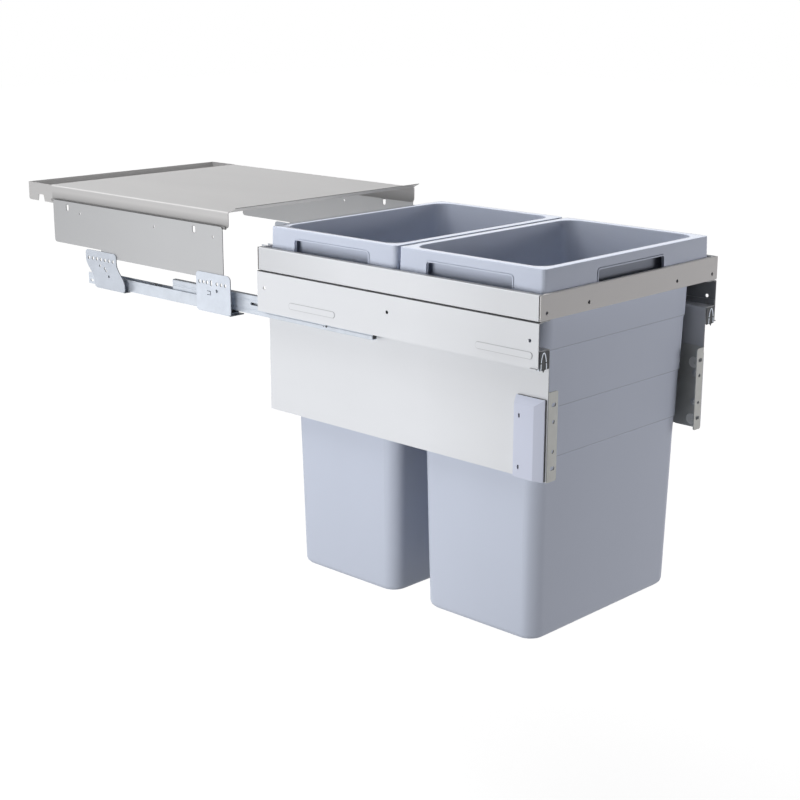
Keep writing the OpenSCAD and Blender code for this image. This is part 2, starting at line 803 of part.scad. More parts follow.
module rear_bracket() {
    z_row = z_bracket_top - rear_row_drop;
    color([0.85, 0.88, 0.92])
    difference() {
        union() {
            across_x(x_bracket_in, x_wall)
            rear_bracket_outline();
            bracket_foot(y_rear_foot, y_rear_foot + rear_bracket_foot_l);
        }
        foot_holes();
        across_x(x_bracket_in - over, x_wall + over) {
            for (i = [0 : rear_row_count - 1])
                translate([y_rear_bracket + rear_row_start + i * rear_row_pitch, z_row])
                circle(d = bracket_hole_d);
            for (a = rear_small)
                translate([y_rear_bracket + a[0], z_bracket_top - a[1]])
                circle(d = rear_small_d);
        }
    }
}

// Rivets that hold one cabinet profile to the feet of its two brackets
module profile_rivets() {
    color([0.75, 0.77, 0.8])
    for (y = rivet_y)
        translate([x_runner, y, z_bracket_bot - rivet_head_h]) {
            cylinder(h = rivet_head_h, r = rivet_head_r);
            cylinder(h = rivet_head_h + bracket_sheet + runner_sheet, r = rivet_r);
        }
}

// Door brackets: angles inside the lower panels, with slots and holes for the door's screws
door_fold_r = 2;
door_corner_r = 3;
door_leg_r = 5;
door_hole_inset = 10.5;
z_door_mid = z_panel_bot + door_bracket_h / 2;
// Places of the cams and of the clamping screws on the bracket
cam_y = 12.5;
cam_drop = 6;
cam_pitch = 84;
clamp_drop = 1.5;
clamp_pitch = 42;
cam_z = [z_door_mid - cam_drop + cam_pitch / 2, z_door_mid - cam_drop - cam_pitch / 2];
clamp_z = [z_door_mid - clamp_drop + clamp_pitch / 2, z_door_mid - clamp_drop - clamp_pitch / 2];
cam_hole_r = 6;
cam_lobe_r = 4.5;
cam_offset = 1.2;
cam_shaft_r = 2.9;
cam_head_t = 2.2;
cam_keeper_r = 4;
cam_keeper_t = 1.2;
cam_socket_d = 5.8;
cam_socket_depth = 1.6;
clamp_r = 2.4;
clamp_head_r = 4;
clamp_head_h = 2.6;
clamp_nut_af = 8;
clamp_nut_h = 3;
clamp_recess_l = 4.6;
clamp_recess_w = 1;
clamp_recess_depth = 1.5;
x_leg_in = x_panel_in - door_bracket_t;

module door_bracket() {
    z1 = z_panel_bot + door_bracket_h;
    x0 = x_panel - door_flange_w;
    color([0.7, 0.7, 0.69])
    difference() {
        intersection() {
            translate([0, 0, z_panel_bot])
            linear_extrude(door_bracket_h) {
                rect(x0, 0, x_panel_in - door_fold_r, door_bracket_t);
                fold(x_panel_in - door_fold_r, door_fold_r, door_fold_r, door_bracket_t, 1, -1);
                rect(x_leg_in, door_fold_r, x_panel_in, door_leg_l);
            }
            along_y(-over, door_leg_l + over)
            round_rect(x0, z_panel_bot, x_panel_in + 2 * door_corner_r, z1, door_corner_r);
            across_x(x0 - over, x_panel_in + over)
            round_rect(-2 * door_leg_r, z_panel_bot, door_leg_l, z1, door_leg_r);
        }
        along_y(-over, door_bracket_t + over) {
            for (s = [-1, 1])
                slot_y(x_panel - door_hole_inset, z_door_mid + s * door_slot_pitch / 2, door_slot_l, door_slot_w);
            for (s = [-1, 1])
                translate([x_panel - door_hole_inset, z_door_mid + s * door_hole_pitch / 2])
                circle(d = door_hole_d);
        }
        for (z = cam_z)
            translate([x_leg_in - over, cam_y, z])
            rotate([0, 90, 0])
            cylinder(h = door_bracket_t + over, r = cam_hole_r);
        for (z = clamp_z)
            translate([x_leg_in - over, cam_y, z])
            rotate([0, 90, 0])
            cylinder(h = door_bracket_t + over, r = clamp_r + pin_gap);
    }
}

// Adjusting cam: an eccentric in the bracket's leg, turned from the inside with a hex key
module cam(z) {
    color([0.75, 0.76, 0.78])
    translate([x_leg_in, cam_y, z])
    rotate([0, 90, 0])
    difference() {
        union() {
            translate([0, 0, -pin_gap - cam_head_t])
            cylinder(h = cam_head_t, d = cam_head_d);
            translate([0, -cam_offset, -pin_gap - cam_head_t / 2])
            cylinder(h = door_bracket_t + cam_head_t / 2, r = cam_lobe_r);
            cylinder(h = door_bracket_t + panel_sheet + 2 * pin_gap, r = cam_shaft_r);
            translate([0, 0, door_bracket_t + panel_sheet + pin_gap])
            cylinder(h = cam_keeper_t, r = cam_keeper_r);
        }
        translate([0, 0, -pin_gap - cam_head_t - over])
        cylinder(h = cam_socket_depth + over, d = cam_socket_d, $fn = 6);
    }
}

module upper_cam() {
    cam(cam_z[0]);
}

module lower_cam() {
    cam(cam_z[1]);
}

// Clamping screws: pan heads inside, nuts outside under the plastic cover
module clamp_screws() {
    color([0.78, 0.79, 0.81])
    for (z = clamp_z)
        translate([x_leg_in, cam_y, z])
        rotate([0, 90, 0])
        difference() {
            union() {
                translate([0, 0, -clamp_head_h])
                cylinder(h = clamp_head_h, r = clamp_head_r);
                cylinder(h = door_bracket_t + panel_sheet + clamp_nut_h, r = clamp_r);
                translate([0, 0, door_bracket_t + panel_sheet])
                cylinder(h = clamp_nut_h, r = clamp_nut_af / 2 / cos(30), $fn = 6);
            }
            for (a = [0, 90])
                rotate([0, 0, a])
                translate([-clamp_recess_l / 2, -clamp_recess_w / 2, -clamp_head_h - over])
                cube([clamp_recess_l, clamp_recess_w, clamp_recess_depth + over]);
        }
}

// Plastic cover over the nuts on the lower panel's outside
cover_setback = 3.5;
cover_lift = 0.5;
cover_edge = 4;
cover_bevel_y = 17;
cover_bevel_z = 10;
cover_wall = 1.6;
cover_slot_y = 38.5;
cover_slot_w = 2.2;
cover_slot_l = 6;
cover_slot_drops = [26, 95.5];

module cover_body(w, e) {
    y0 = cover_setback + w;
    y1 = cover_setback + cover_l - w;
    z0 = z_panel_bot + cover_lift + w;
    z1 = z_panel_bot + cover_lift + cover_h - w;
    x1 = x_panel + cover_t - w;
    xe = x_panel + cover_edge - w;
    intersection() {
        translate([0, 0, z0])
        linear_extrude(z1 - z0)
        polygon([[x_panel - e, y0], [xe, y0], [x1, y0 + cover_bevel_y], [x1, y1], [x_panel - e, y1]]);
        along_y(y0, y1)
        polygon([[x_panel - e, z0], [xe, z0], [x1, z0 + cover_bevel_z],
            [x1, z1 - cover_bevel_z], [xe, z1], [x_panel - e, z1]]);
    }
}

module bracket_cover() {
    color([0.78, 0.8, 0.86])
    difference() {
        cover_body(0, 0);
        cover_body(cover_wall, over);
        across_x(x_panel + cover_t - 2 * cover_wall, x_panel + cover_t + over)
        for (d = cover_slot_drops)
            slot_z(cover_setback + cover_slot_y, z_panel_bot + cover_lift + cover_h - d, cover_slot_l, cover_slot_w);
    }
}

// Fixed cover over the closed bins: a folded sheet with a raised front lip and a sunk tray at the rear
x_lid = lid_w / 2;
x_roll = x_lid - lid_sheet_t + roll_r;
z_roll_bot = z_lid - rolled_skirt_h;
z_roll = z_roll_bot + roll_r;
z_skirt_bot = z_lid - skirt_h;
y_tray = y_lid_end - tray_l;
y_roll_end = y_lid_end - plain_skirt_l;
roll_tip = 2.5;
skirt_front_r = 5;
skirt_rear_r = 4;
notch_bottom_w = 19;
notch_top_w = 13;
notch_h = 11;
notch_inset = 35.5;

module skirt_outline() {
    y_notch = y_lid_end - notch_inset;
    difference() {
        union() {
            rect(y_lid, z_roll + skirt_front_r, y_tray, z_lid - lid_fold_r);
            rect(y_lid + skirt_front_r, z_roll, y_tray, z_lid - lid_fold_r);
            translate([y_lid + skirt_front_r, z_roll + skirt_front_r])
            circle(skirt_front_r);
            rect(y_roll_end, z_skirt_bot, y_lid_end - skirt_rear_r, z_lid - lid_fold_r);
            rect(y_tray, z_skirt_bot + skirt_rear_r, y_lid_end, z_lid);
            translate([y_lid_end - skirt_rear_r, z_skirt_bot + skirt_rear_r])
            circle(skirt_rear_r);
        }
        polygon([[y_notch - notch_bottom_w / 2, z_skirt_bot - over], [y_notch - notch_bottom_w / 2, z_skirt_bot],
            [y_notch - notch_top_w / 2, z_skirt_bot + notch_h], [y_notch + notch_top_w / 2, z_skirt_bot + notch_h],
            [y_notch + notch_bottom_w / 2, z_skirt_bot], [y_notch + notch_bottom_w / 2, z_skirt_bot - over]]);
    }
}

module lid_sheet() {
    up = [-cos(lip_angle), sin(lip_angle)];
    down = [-sin(lip_angle), -cos(lip_angle)];
    tip = [y_lid, z_lid] + lip_l * up;
    color([0.78, 0.78, 0.78])
    across_x(-x_lid + lid_fold_r, x_lid - lid_fold_r) {
        rect(y_lid, z_lid - lid_sheet_t, y_tray, z_lid);
        polygon([[y_lid, z_lid], tip, tip + lid_sheet_t * down, [y_lid, z_lid - lid_sheet_t]]);
    }
}

module lid_tray() {
    color([0.76, 0.76, 0.76])
    across_x(-x_lid + lid_sheet_t, x_lid - lid_sheet_t) {
        rect(y_tray, z_lid - tray_depth - lid_sheet_t, y_tray + lid_sheet_t, z_lid);
        rect(y_tray, z_lid - tray_depth - lid_sheet_t, y_lid_end, z_lid - tray_depth);
        rect(y_lid_end - lid_sheet_t, z_lid - tray_depth - lid_sheet_t, y_lid_end, z_lid);
    }
}

module lid_skirt() {
    color([0.77, 0.77, 0.77]) {
        across_x(x_lid - lid_sheet_t, x_lid)
        skirt_outline();
        along_y(y_lid, y_tray)
        fold(x_lid - lid_fold_r, z_lid - lid_fold_r, lid_fold_r, lid_sheet_t, 1, 1);
        along_y(y_lid + skirt_front_r, y_roll_end) {
            fold(x_roll, z_roll, roll_r, lid_sheet_t, -1, -1);
            fold(x_roll, z_roll, roll_r, lid_sheet_t, 1, -1);
            rect(x_roll + roll_r - lid_sheet_t, z_roll, x_roll + roll_r, z_roll + roll_tip);
        }
    }
}

// Side plates: stand on the cabinet brackets and carry the cover on tabs turned in from their slots
plate_above = 5;
plate_r = 6;
slot_end = 39.7;
tab_reach = 4.8;
plate_hole_d = 4;
plate_holes = [22, 163, 357];
plate_hole_drop = 17.5;
z_plate_top = z_roll_bot + plate_above;

module lid_side_plate() {
    y_step = y_rear_bracket + rear_bracket_l / 2;
    z_rear = z_plate_top - plate_h;
    z_slot = z_roll_bot + plate_sheet / 2 - plate_slot_h / 2;
    slots = [y_plate_end - slot_end, y_plate_end - slot_end - plate_slot_pitch];
    color([0.77, 0.78, 0.79]) {
        across_x(x_plate_in, x_bracket_in)
        difference() {
            union() {
                round_rect(y_plate, z_rear - plate_step, y_step, z_plate_top, plate_r);
                round_rect(y_step - 4 * plate_r, z_rear, y_plate_end, z_plate_top, plate_r);
            }
            for (y = slots)
                slot_z(y, z_slot, plate_slot_h, plate_slot_w);
            for (a = plate_holes)
                translate([y_plate + a, z_plate_top - plate_hole_drop])
                circle(d = plate_hole_d);
        }
        for (y = slots)
            translate([x_plate_in - tab_reach, y - plate_slot_w / 2, z_roll_bot - plate_sheet])
            cube([tab_reach + plate_sheet, plate_slot_w, plate_sheet]);
    }
}

// Bins: a wide rim with a collar, hand openings in all four sides and a body stepped in towards the base
z_bin_bot_of_collar = z_ledge + seat_gap;
z_bin_top = z_bin_bot_of_collar + collar_h;
z_bin_bot = z_bin_top - bin_h;
collar_taper = 7.1;
corner_share = 0.2;
base_chamfer = 3;
base_recess = 1;
base_recess_inset = 18;
outline_w = 1.6;
outline_rise = 0.5;
grip_corner_r = 4;
slab = 0.1;
// Shares of the bin's height at which the body changes
level_shares = [0, 0.1232, 0.214, 0.3673, 0.5012, 1];

function level_in(i) = i == 0 ? 0 : level_out(i - 1) + (i > 1 ? body_step : 0);
function level_out(i) = i == 0 ? collar_taper
    : level_in(i) + body_draft_share * bin_h * (level_shares[i + 1] - level_shares[i]);

// A block with round corners, its sides set in or out from the bin's rim by one value at each end.
// Its corners start at radius r and shrink by a share of what the sides are set in.
module tapered_block(z0, in0, z1, in1, r_start, share) {
    hull()
        for (e = [[z0, in0], [z1 - slab, in1]]) {
            r = r_start - share * e[1];
            for (a = [-1, 1], b = [-1, 1])
                translate([a * (bin_w / 2 - e[1] - r), b * (bin_l / 2 - e[1] - r), e[0]])
                cylinder(h = slab, r = r, $fn = hull_fn);
        }
}

module rim_block(z0, in0, z1, in1) {
    tapered_block(z0, in0, z1, in1, rim_corner_r, 1);
}

module bin_stack(lift, inset) {
    base = rim_w - bin_wall + inset;
    last = len(level_shares) - 2;
    for (i = [0 : last]) {
        z1 = z_bin_top - bin_h * level_shares[i] + lift + (i == 0 ? 0 : slab);
        z0 = z_bin_top - bin_h * level_shares[i + 1] + lift + (i == last ? base_chamfer : 0);
        tapered_block(z0, base + level_out(i), z1, base + level_in(i), bin_corner_r, corner_share);
    }
    tapered_block(z_bin_bot + lift, base + level_out(last) + base_chamfer,
        z_bin_bot + lift + base_chamfer + slab, base + level_out(last), bin_corner_r, corner_share);
}

module grip_shape(grow) {
    top = z_bin_top - grip_top + grow;
    half = grip_w / 2 + grow;
    intersection() {
        round_rect(-half, z_bin_bot_of_collar - grip_w, half, top, grip_corner_r + grow);
        rect(-half, z_bin_bot_of_collar - (grow > 0 ? 0 : over), half, top);
    }
}

module grip_prisms(grow) {
    reach = bin_w / 2 + bin_corner_r;
    along_y(-reach, reach)
    grip_shape(grow);
    across_x(-reach, reach)
    grip_shape(grow);
}

module bin() {
    color([0.76, 0.78, 0.83])
    difference() {
        union() {
            difference() {
                union() {
                    rim_block(z_bin_bot_of_collar, -collar_flare, z_bin_top, 0);
                    intersection() {
                        rim_block(z_bin_bot_of_collar, -collar_flare - outline_rise, z_bin_top, -outline_rise);
                        grip_prisms(outline_w);
                    }
                }
                rim_block(z_bin_bot_of_collar - over, bin_wall - collar_flare, z_bin_top - bin_wall, bin_wall);
                grip_prisms(0);
            }
            bin_stack(0, 0);
        }
        bin_stack(bin_wall, bin_wall);
        translate([0, 0, z_bin_bot - over])
        linear_extrude(base_recess + over)
        round_rect(-bin_w / 2 + rim_w + level_out(4) + base_recess_inset,
            -bin_l / 2 + rim_w + level_out(4) + base_recess_inset,
            bin_w / 2 - rim_w - level_out(4) - base_recess_inset,
            bin_l / 2 - rim_w - level_out(4) - base_recess_inset, base_recess_inset);
    }
}

module front_bin() {
    translate([0, front_bin_y, 0])
    bin();
}

module rear_bin() {
    translate([0, front_bin_y + bin_pitch, 0])
    bin();
}

lid_sheet();
lid_tray();
left() lid_skirt();  // lid_skirt_left
lid_skirt();  // lid_skirt_right
left() lid_side_plate();  // lid_side_plate_left
lid_side_plate();  // lid_side_plate_right
left() front_bracket();  // front_bracket_left
front_bracket();  // front_bracket_right
left() rear_bracket();  // rear_bracket_left
rear_bracket();  // rear_bracket_right
left() cabinet_profile();  // cabinet_profile_left
cabinet_profile();  // cabinet_profile_right
left() profile_rivets();  // profile_rivets_left
profile_rivets();  // profile_rivets_right
left() closing_catch();  // closing_catch_left
closing_catch();  // closing_catch_right
left() lower_ball_cage();  // lower_ball_cage_left
lower_ball_cage();  // lower_ball_cage_right
left() middle_profile();  // middle_profile_left
middle_profile();  // middle_profile_right
left() upper_ball_cage();  // upper_ball_cage_left
upper_ball_cage();  // upper_ball_cage_right
left() drawer_profile();  // drawer_profile_left
drawer_profile();  // drawer_profile_right
left() profile_end_stop();  // profile_end_stop_left
profile_end_stop();  // profile_end_stop_right
front_crossbar();
rear_crossbar();
left() side_rail();  // side_rail_left
side_rail();  // side_rail_right
left() upper_side_panel();  // upper_side_panel_left
upper_side_panel();  // upper_side_panel_right
left() lower_side_panel();  // lower_side_panel_left
lower_side_panel();  // lower_side_panel_right
left() door_bracket();  // door_bracket_left
door_bracket();  // door_bracket_right
left() clamp_screws();  // clamp_screws_left
clamp_screws();  // clamp_screws_right
left() bracket_cover();  // bracket_cover_left
bracket_cover();  // bracket_cover_right
left() upper_cam();  // upper_cam_left
upper_cam();  // upper_cam_right
left() lower_cam();  // lower_cam_left
lower_cam();  // lower_cam_right
front_bin();
rear_bin();
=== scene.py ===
"""Looks of the pull-out waste bin unit: finishes, moulded and pressed detail, light and camera.

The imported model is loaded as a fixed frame. Every length is in metres, in the model's own axes:
+X to the right, -Y towards the door and +Z up.
"""

import logging
import math
from collections.abc import Callable, Sequence
from dataclasses import dataclass, field
from enum import Enum

import bmesh
import bpy
from mathutils import Matrix, Vector


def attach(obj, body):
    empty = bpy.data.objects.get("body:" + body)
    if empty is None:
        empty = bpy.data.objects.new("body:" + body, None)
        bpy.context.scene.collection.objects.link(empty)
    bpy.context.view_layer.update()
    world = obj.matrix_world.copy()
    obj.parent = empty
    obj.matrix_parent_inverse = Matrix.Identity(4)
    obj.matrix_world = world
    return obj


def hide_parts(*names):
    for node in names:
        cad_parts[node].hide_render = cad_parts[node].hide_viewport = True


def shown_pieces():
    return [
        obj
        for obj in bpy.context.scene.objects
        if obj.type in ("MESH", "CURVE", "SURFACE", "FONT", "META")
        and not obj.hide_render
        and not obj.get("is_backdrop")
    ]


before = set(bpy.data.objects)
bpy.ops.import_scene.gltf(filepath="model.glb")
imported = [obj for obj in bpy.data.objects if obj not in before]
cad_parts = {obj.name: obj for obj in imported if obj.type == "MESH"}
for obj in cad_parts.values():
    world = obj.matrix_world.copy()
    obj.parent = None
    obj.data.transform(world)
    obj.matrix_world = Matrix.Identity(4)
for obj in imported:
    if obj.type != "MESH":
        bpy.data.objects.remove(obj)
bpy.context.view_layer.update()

log = logging.getLogger("bin_unit")

Test = Callable[[Vector, Vector], bool]
Socket = bpy.types.NodeSocket
Colour = tuple[float, float, float]

TOUCH = 1e-6  # Points and heights closer than this are one
FACING = 0.9  # The share of a normal or of an edge's direction that counts as square to an axis
WHITE = (1.0, 1.0, 1.0, 1.0)


class Part(Enum):
    """The kind of element that edit mode selects."""

    POINTS = "VERT"
    EDGES = "EDGE"
    FACES = "FACE"


class Side(Enum):
    """One side of the unit, with its sign along X."""

    LEFT = -1
    RIGHT = 1

    @property
    def word(self) -> str:
        """The side's name as the nodes' names end."""
        return self.name.lower()


class Axis(Enum):
    """An axis of the model, by its place in a vector."""

    X = 0
    Y = 1
    Z = 2


class Look(Enum):
    """What a gate of a finish reads: the surface's place or direction, each with or without its sign."""

    PLACE = 1
    DISTANCE = 2
    ONE_WAY = 3
    EITHER_WAY = 4


def clear_selection() -> None:
    """Leaves object mode and deselects every object."""
    if bpy.context.object is not None and bpy.context.object.mode != "OBJECT":
        bpy.ops.object.mode_set(mode="OBJECT")
    bpy.ops.object.select_all(action="DESELECT")


@dataclass(frozen=True)
class Station:
    """One ring of a turned piece.

    Attributes:
        along: Its place along X.
        radius: Its radius.
        off: How far it sits off the axis along Y.
    """

    along: float
    radius: float
    off: float = 0.0


class Workpiece:
    """One mesh on the bench: it starts as a primitive and is shaped in edit mode.

    Attributes:
        obj: The Blender object. It stays at the origin, and its mesh holds its place.
    """

    def __init__(self, obj: bpy.types.Object, name: str) -> None:
        """Names a fresh object.

        Args:
            obj: The object that a primitive operator has just added.
            name: The piece's name.
        """
        self.obj = obj
        obj.name = name
        obj.data.name = name

    @classmethod
    def block(cls, name: str, low: Sequence[float], high: Sequence[float]) -> "Workpiece":
        """Starts from a cube stretched between two corners.

        Args:
            name: The piece's name.
            low: The lowest corner.
            high: The highest corner.

        Returns:
            The workpiece, in edit mode.
        """
        clear_selection()
        bpy.ops.mesh.primitive_cube_add(size=1.0, location=(0, 0, 0))
        piece = cls(bpy.context.object, name)
        piece._fit(low, high)
        return piece

    @classmethod
    def sheet(cls, name: str, low: Sequence[float], high: Sequence[float]) -> "Workpiece":
        """Starts from a level plane between two corners; its height is the lower corner's.

        Args:
            name: The piece's name.
            low: The lowest corner.
            high: The highest corner.

        Returns:
            The workpiece, in edit mode.
        """
        clear_selection()
        bpy.ops.mesh.primitive_plane_add(size=1.0, location=(0, 0, 0))
        piece = cls(bpy.context.object, name)
        piece._fit(low, (high[0], high[1], low[2]))
        return piece

    @classmethod
    def disc(cls, name: str, centre: Sequence[float], radius: float, across: Axis, sides: int = 48) -> "Workpiece":
        """Starts from a flat disc.

        Args:
            name: The piece's name.
            centre: The disc's centre.
            radius: The disc's radius.
            across: The level axis that the disc faces along.
            sides: The number of its edges.

        Returns:
            The workpiece, in edit mode, facing the positive direction of the axis.
        """
        clear_selection()
        bpy.ops.mesh.primitive_circle_add(vertices=sides, radius=radius, fill_type="NGON", location=(0, 0, 0))
        piece = cls(bpy.context.object, name)
        quarter = math.pi / 2
        turn = Matrix.Rotation(quarter, 4, "Y") if across is Axis.X else Matrix.Rotation(-quarter, 4, "X")
        piece.obj.data.transform(Matrix.Translation(Vector(centre)) @ turn)
        bpy.ops.object.mode_set(mode="EDIT")
        return piece

    @classmethod
    def turned(cls, name: str, centre: Sequence[float], stations: Sequence[Station], sides: int = 40) -> "Workpiece":
        """Extrudes a disc along X through a row of rings, as on a lathe.

        Args:
            name: The piece's name.
            centre: A point on the axis; its X is not used.
            stations: The rings in order of X.
            sides: The number of sides.

        Returns:
            The closed workpiece, in edit mode.
        """
        here = stations[0]
        piece = cls.disc(name, (here.along, centre[1] + here.off, centre[2]), here.radius, Axis.X, sides)
        piece.pick_all()
        for ring in stations[1:]:
            piece.extrude((ring.along - here.along, ring.off - here.off, 0))
            share = ring.radius / here.radius
            piece.scale((1, share, share), (ring.along, centre[1] + ring.off, centre[2]))
            here = ring
        piece.weld()
        return piece

    @classmethod
    def of_node(cls, name: str, node: str) -> "Workpiece":
        """Starts from a copy of a CAD node's mesh, with its doubled points merged.

        Args:
            name: The piece's name.
            node: The node's name.

        Returns:
            The workpiece, in edit mode.
        """
        obj = bpy.data.objects.new(name, bpy.data.objects[node].data.copy())
        bpy.context.scene.collection.objects.link(obj)
        piece = cls(obj, name)
        piece.edit()
        piece.pick_all()
        bpy.ops.mesh.remove_doubles(threshold=TOUCH)
        bpy.ops.mesh.customdata_custom_splitnormals_clear()
        return piece

    def _fit(self, low: Sequence[float], high: Sequence[float]) -> None:
        """Stretches and moves the fresh primitive between two corners, in edit mode.

        Args:
            low: The lowest corner.
            high: The highest corner.
        """
        bpy.ops.object.mode_set(mode="EDIT")
        bpy.ops.mesh.select_all(action="SELECT")
        size = [high[i] - low[i] or 1.0 for i in range(3)]
        bpy.ops.transform.resize(value=size, center_override=(0, 0, 0))
        bpy.ops.transform.translate(value=[(high[i] + low[i]) / 2 for i in range(3)])

    def pick(self, test: Test, kind: Part = Part.FACES) -> None:
        """Selects the elements that pass a test, and nothing else.

        Args:
            test: Given an element's middle and its normal (for an edge, its direction), says if it is wanted.
            kind: The kind of element.
        """
        bpy.ops.mesh.select_mode(type=kind.value)
        bpy.ops.mesh.select_all(action="DESELECT")
        mesh = bmesh.from_edit_mesh(self.obj.data)
        mesh.normal_update()
        if kind is Part.FACES:
            found = [(face, face.calc_center_median(), face.normal) for face in mesh.faces]
        elif kind is Part.EDGES:
            ends = [(edge, *(point.co for point in edge.verts)) for edge in mesh.edges]
            found = [(edge, (a + b) / 2, (b - a).normalized()) for edge, a, b in ends]
        else:
            found = [(point, point.co, point.normal) for point in mesh.verts]
        for element, middle, way in found:
            if test(middle, way):
                element.select_set(True)
        mesh.select_flush_mode()
        bmesh.update_edit_mesh(self.obj.data)

    def pick_all(self) -> None:
        """Selects the whole mesh."""
        bpy.ops.mesh.select_mode(type="FACE")
        bpy.ops.mesh.select_all(action="SELECT")

    def extrude(self, by: Sequence[float]) -> None:
        """Extrudes the selection by a vector."""
        bpy.ops.mesh.extrude_region_move(TRANSFORM_OT_translate={"value": by})

    def swell(self, by: float) -> None:
        """Extrudes the selected faces along their own normals."""
        bpy.ops.mesh.extrude_region_shrink_fatten(TRANSFORM_OT_shrink_fatten={"value": by})

    def inset(self, by: float, depth: float = 0.0) -> None:
        """Insets the selected faces, and moves the inner ones by depth along the normal."""
        bpy.ops.mesh.inset(thickness=by, depth=depth, use_even_offset=True)

    def round_edges(self, width: float, segments: int = 3) -> None:
        """Bevels the selected edges."""
        bpy.ops.mesh.bevel(offset=width, segments=segments, affect="EDGES", profile=0.5, clamp_overlap=True)

    def round_points(self, width: float, segments: int = 8) -> None:
        """Bevels the selected points of a flat face into round corners."""
        bpy.ops.mesh.bevel(offset=width, segments=segments, affect="VERTICES", profile=0.5)

    def scale(self, value: Sequence[float], about: Sequence[float]) -> None:
        """Scales the selection about a point."""
        bpy.ops.transform.resize(value=value, center_override=about)

    def move(self, by: Sequence[float]) -> None:
        """Moves the selection."""
        bpy.ops.transform.translate(value=by)

    def cut(self, at: Sequence[float], normal: Sequence[float]) -> None:
        """Bisects the selected faces by a plane, given by a point and its normal."""
        bpy.ops.mesh.bisect(plane_co=at, plane_no=normal)

    def trim(self, at: Sequence[float], normal: Sequence[float]) -> None:
        """Cuts the whole piece by a plane, drops what lies on the normal's side and closes the cut."""
        self.pick_all()
        bpy.ops.mesh.bisect(plane_co=at, plane_no=normal, clear_outer=True, use_fill=True)

    def drop_faces(self) -> None:
        """Deletes the selected faces."""
        bpy.ops.mesh.delete(type="FACE")

    def activate(self) -> None:
        """Leaves edit mode and makes the piece the only selected object."""
        clear_selection()
        self.obj.select_set(True)
        bpy.context.view_layer.objects.active = self.obj

    def modify(self, kind: str, **settings: object) -> None:
        """Adds a modifier and applies it at once.

        Args:
            kind: The modifier's type.
            **settings: The modifier's settings by name.
        """
        self.activate()
        modifier = self.obj.modifiers.new(kind.title(), kind)
        for key, value in settings.items():
            setattr(modifier, key, value)
        bpy.ops.object.modifier_apply(modifier=modifier.name)

    def soften(self, width: float, angle: float = 40.0) -> None:
        """Rounds the edges that are sharper than an angle in degrees by a fine bevel."""
        self.modify("BEVEL", width=width, segments=2, limit_method="ANGLE", angle_limit=math.radians(angle))

    def thicken(self, wall: float) -> None:
        """Gives an open skin a wall on its inner side."""
        self.modify("SOLIDIFY", thickness=wall, offset=-1.0, use_even_offset=True, use_rim=True)

    def edit(self) -> None:
        """Opens the piece in edit mode again."""
        self.activate()
        bpy.ops.object.mode_set(mode="EDIT")

    def weld(self) -> None:
        """Merges doubled points and turns all faces outwards, in edit mode."""
        self.pick_all()
        bpy.ops.mesh.remove_doubles(threshold=TOUCH)
        self.pick_all()
        bpy.ops.mesh.normals_make_consistent(inside=False)

    def turn_to(self, way: Sequence[float], test: Test) -> None:
        """Turns an open skin so that its tested faces look along a direction, in edit mode.

        Args:
            way: The direction.
            test: Tells the faces that show the skin's side.
        """
        mesh = bmesh.from_edit_mesh(self.obj.data)
        mesh.normal_update()
        told = [face for face in mesh.faces if test(face.calc_center_median(), face.normal)]
        if sum(face.normal.dot(Vector(way)) for face in told) < 0:
            self.pick_all()
            bpy.ops.mesh.flip_normals()

    def smooth(self, angle: float = 35.0) -> None:
        """Leaves edit mode and shades the piece smooth.

        Args:
            angle: The angle in degrees up to which it looks smooth.
        """
        self.activate()
        bpy.ops.object.shade_smooth_by_angle(angle=math.radians(angle))
        clear_selection()

    def finished(self, bevel: float = 0.0, angle: float = 40.0) -> "Workpiece":
        """Welds the piece, softens its edges and shades it smooth.

        Args:
            bevel: The width of the fine bevel, if the edges get one.
            angle: The angle in degrees above which an edge gets it.

        Returns:
            The piece itself, in object mode.
        """
        self.weld()
        if bevel:
            self.soften(bevel, angle)
        self.smooth()
        return self

    def carve(self, cutter: "Workpiece") -> None:
        """Takes the cutter's shape out of the piece and removes the cutter.

        Args:
            cutter: A closed workpiece.
        """
        self.modify("BOOLEAN", operation="DIFFERENCE", solver="EXACT", object=cutter.obj)
        bpy.data.objects.remove(cutter.obj, do_unlink=True)

    def join(self, *others: "Workpiece") -> None:
        """Takes other workpieces into this one's mesh."""
        self.activate()
        for other in others:
            other.obj.select_set(True)
        bpy.ops.object.join()
        clear_selection()

    def copy(self, name: str, by: Sequence[float] = (0, 0, 0)) -> "Workpiece":
        """Copies the piece with a mesh of its own.

        Args:
            name: The copy's name.
            by: How far the copy is moved, in its mesh.

        Returns:
            The copy.
        """
        clear_selection()
        obj = self.obj.copy()
        obj.data = self.obj.data.copy()
        bpy.context.scene.collection.objects.link(obj)
        obj.data.transform(Matrix.Translation(Vector(by)))
        return Workpiece(obj, name)

    def mirrored(self, name: str) -> "Workpiece":
        """Copies the piece to the other side of the unit, with its faces still outwards.

        Args:
            name: The copy's name.

        Returns:
            The copy.
        """
        twin = self.copy(name)
        twin.obj.data.transform(Matrix.Scale(-1, 4, (1, 0, 0)))
        twin.edit()
        twin.pick_all()
        bpy.ops.mesh.flip_normals()
        clear_selection()
        return twin

    def fit_out(self, body: str, slot: str, material: bpy.types.Material, *nodes: str) -> None:
        """Gives the piece its material, its body and the nodes that it stands for.

        Args:
            body: The body that it rides on.
            slot: The record's material slot; it is not used.
            material: The material to wear.
            *nodes: The nodes that it replaces.
        """
        clear_selection()
        self.obj.data.materials.clear()
        self.obj.data.materials.append(material)
        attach(self.obj, body)
        if nodes:
            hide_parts(*nodes)


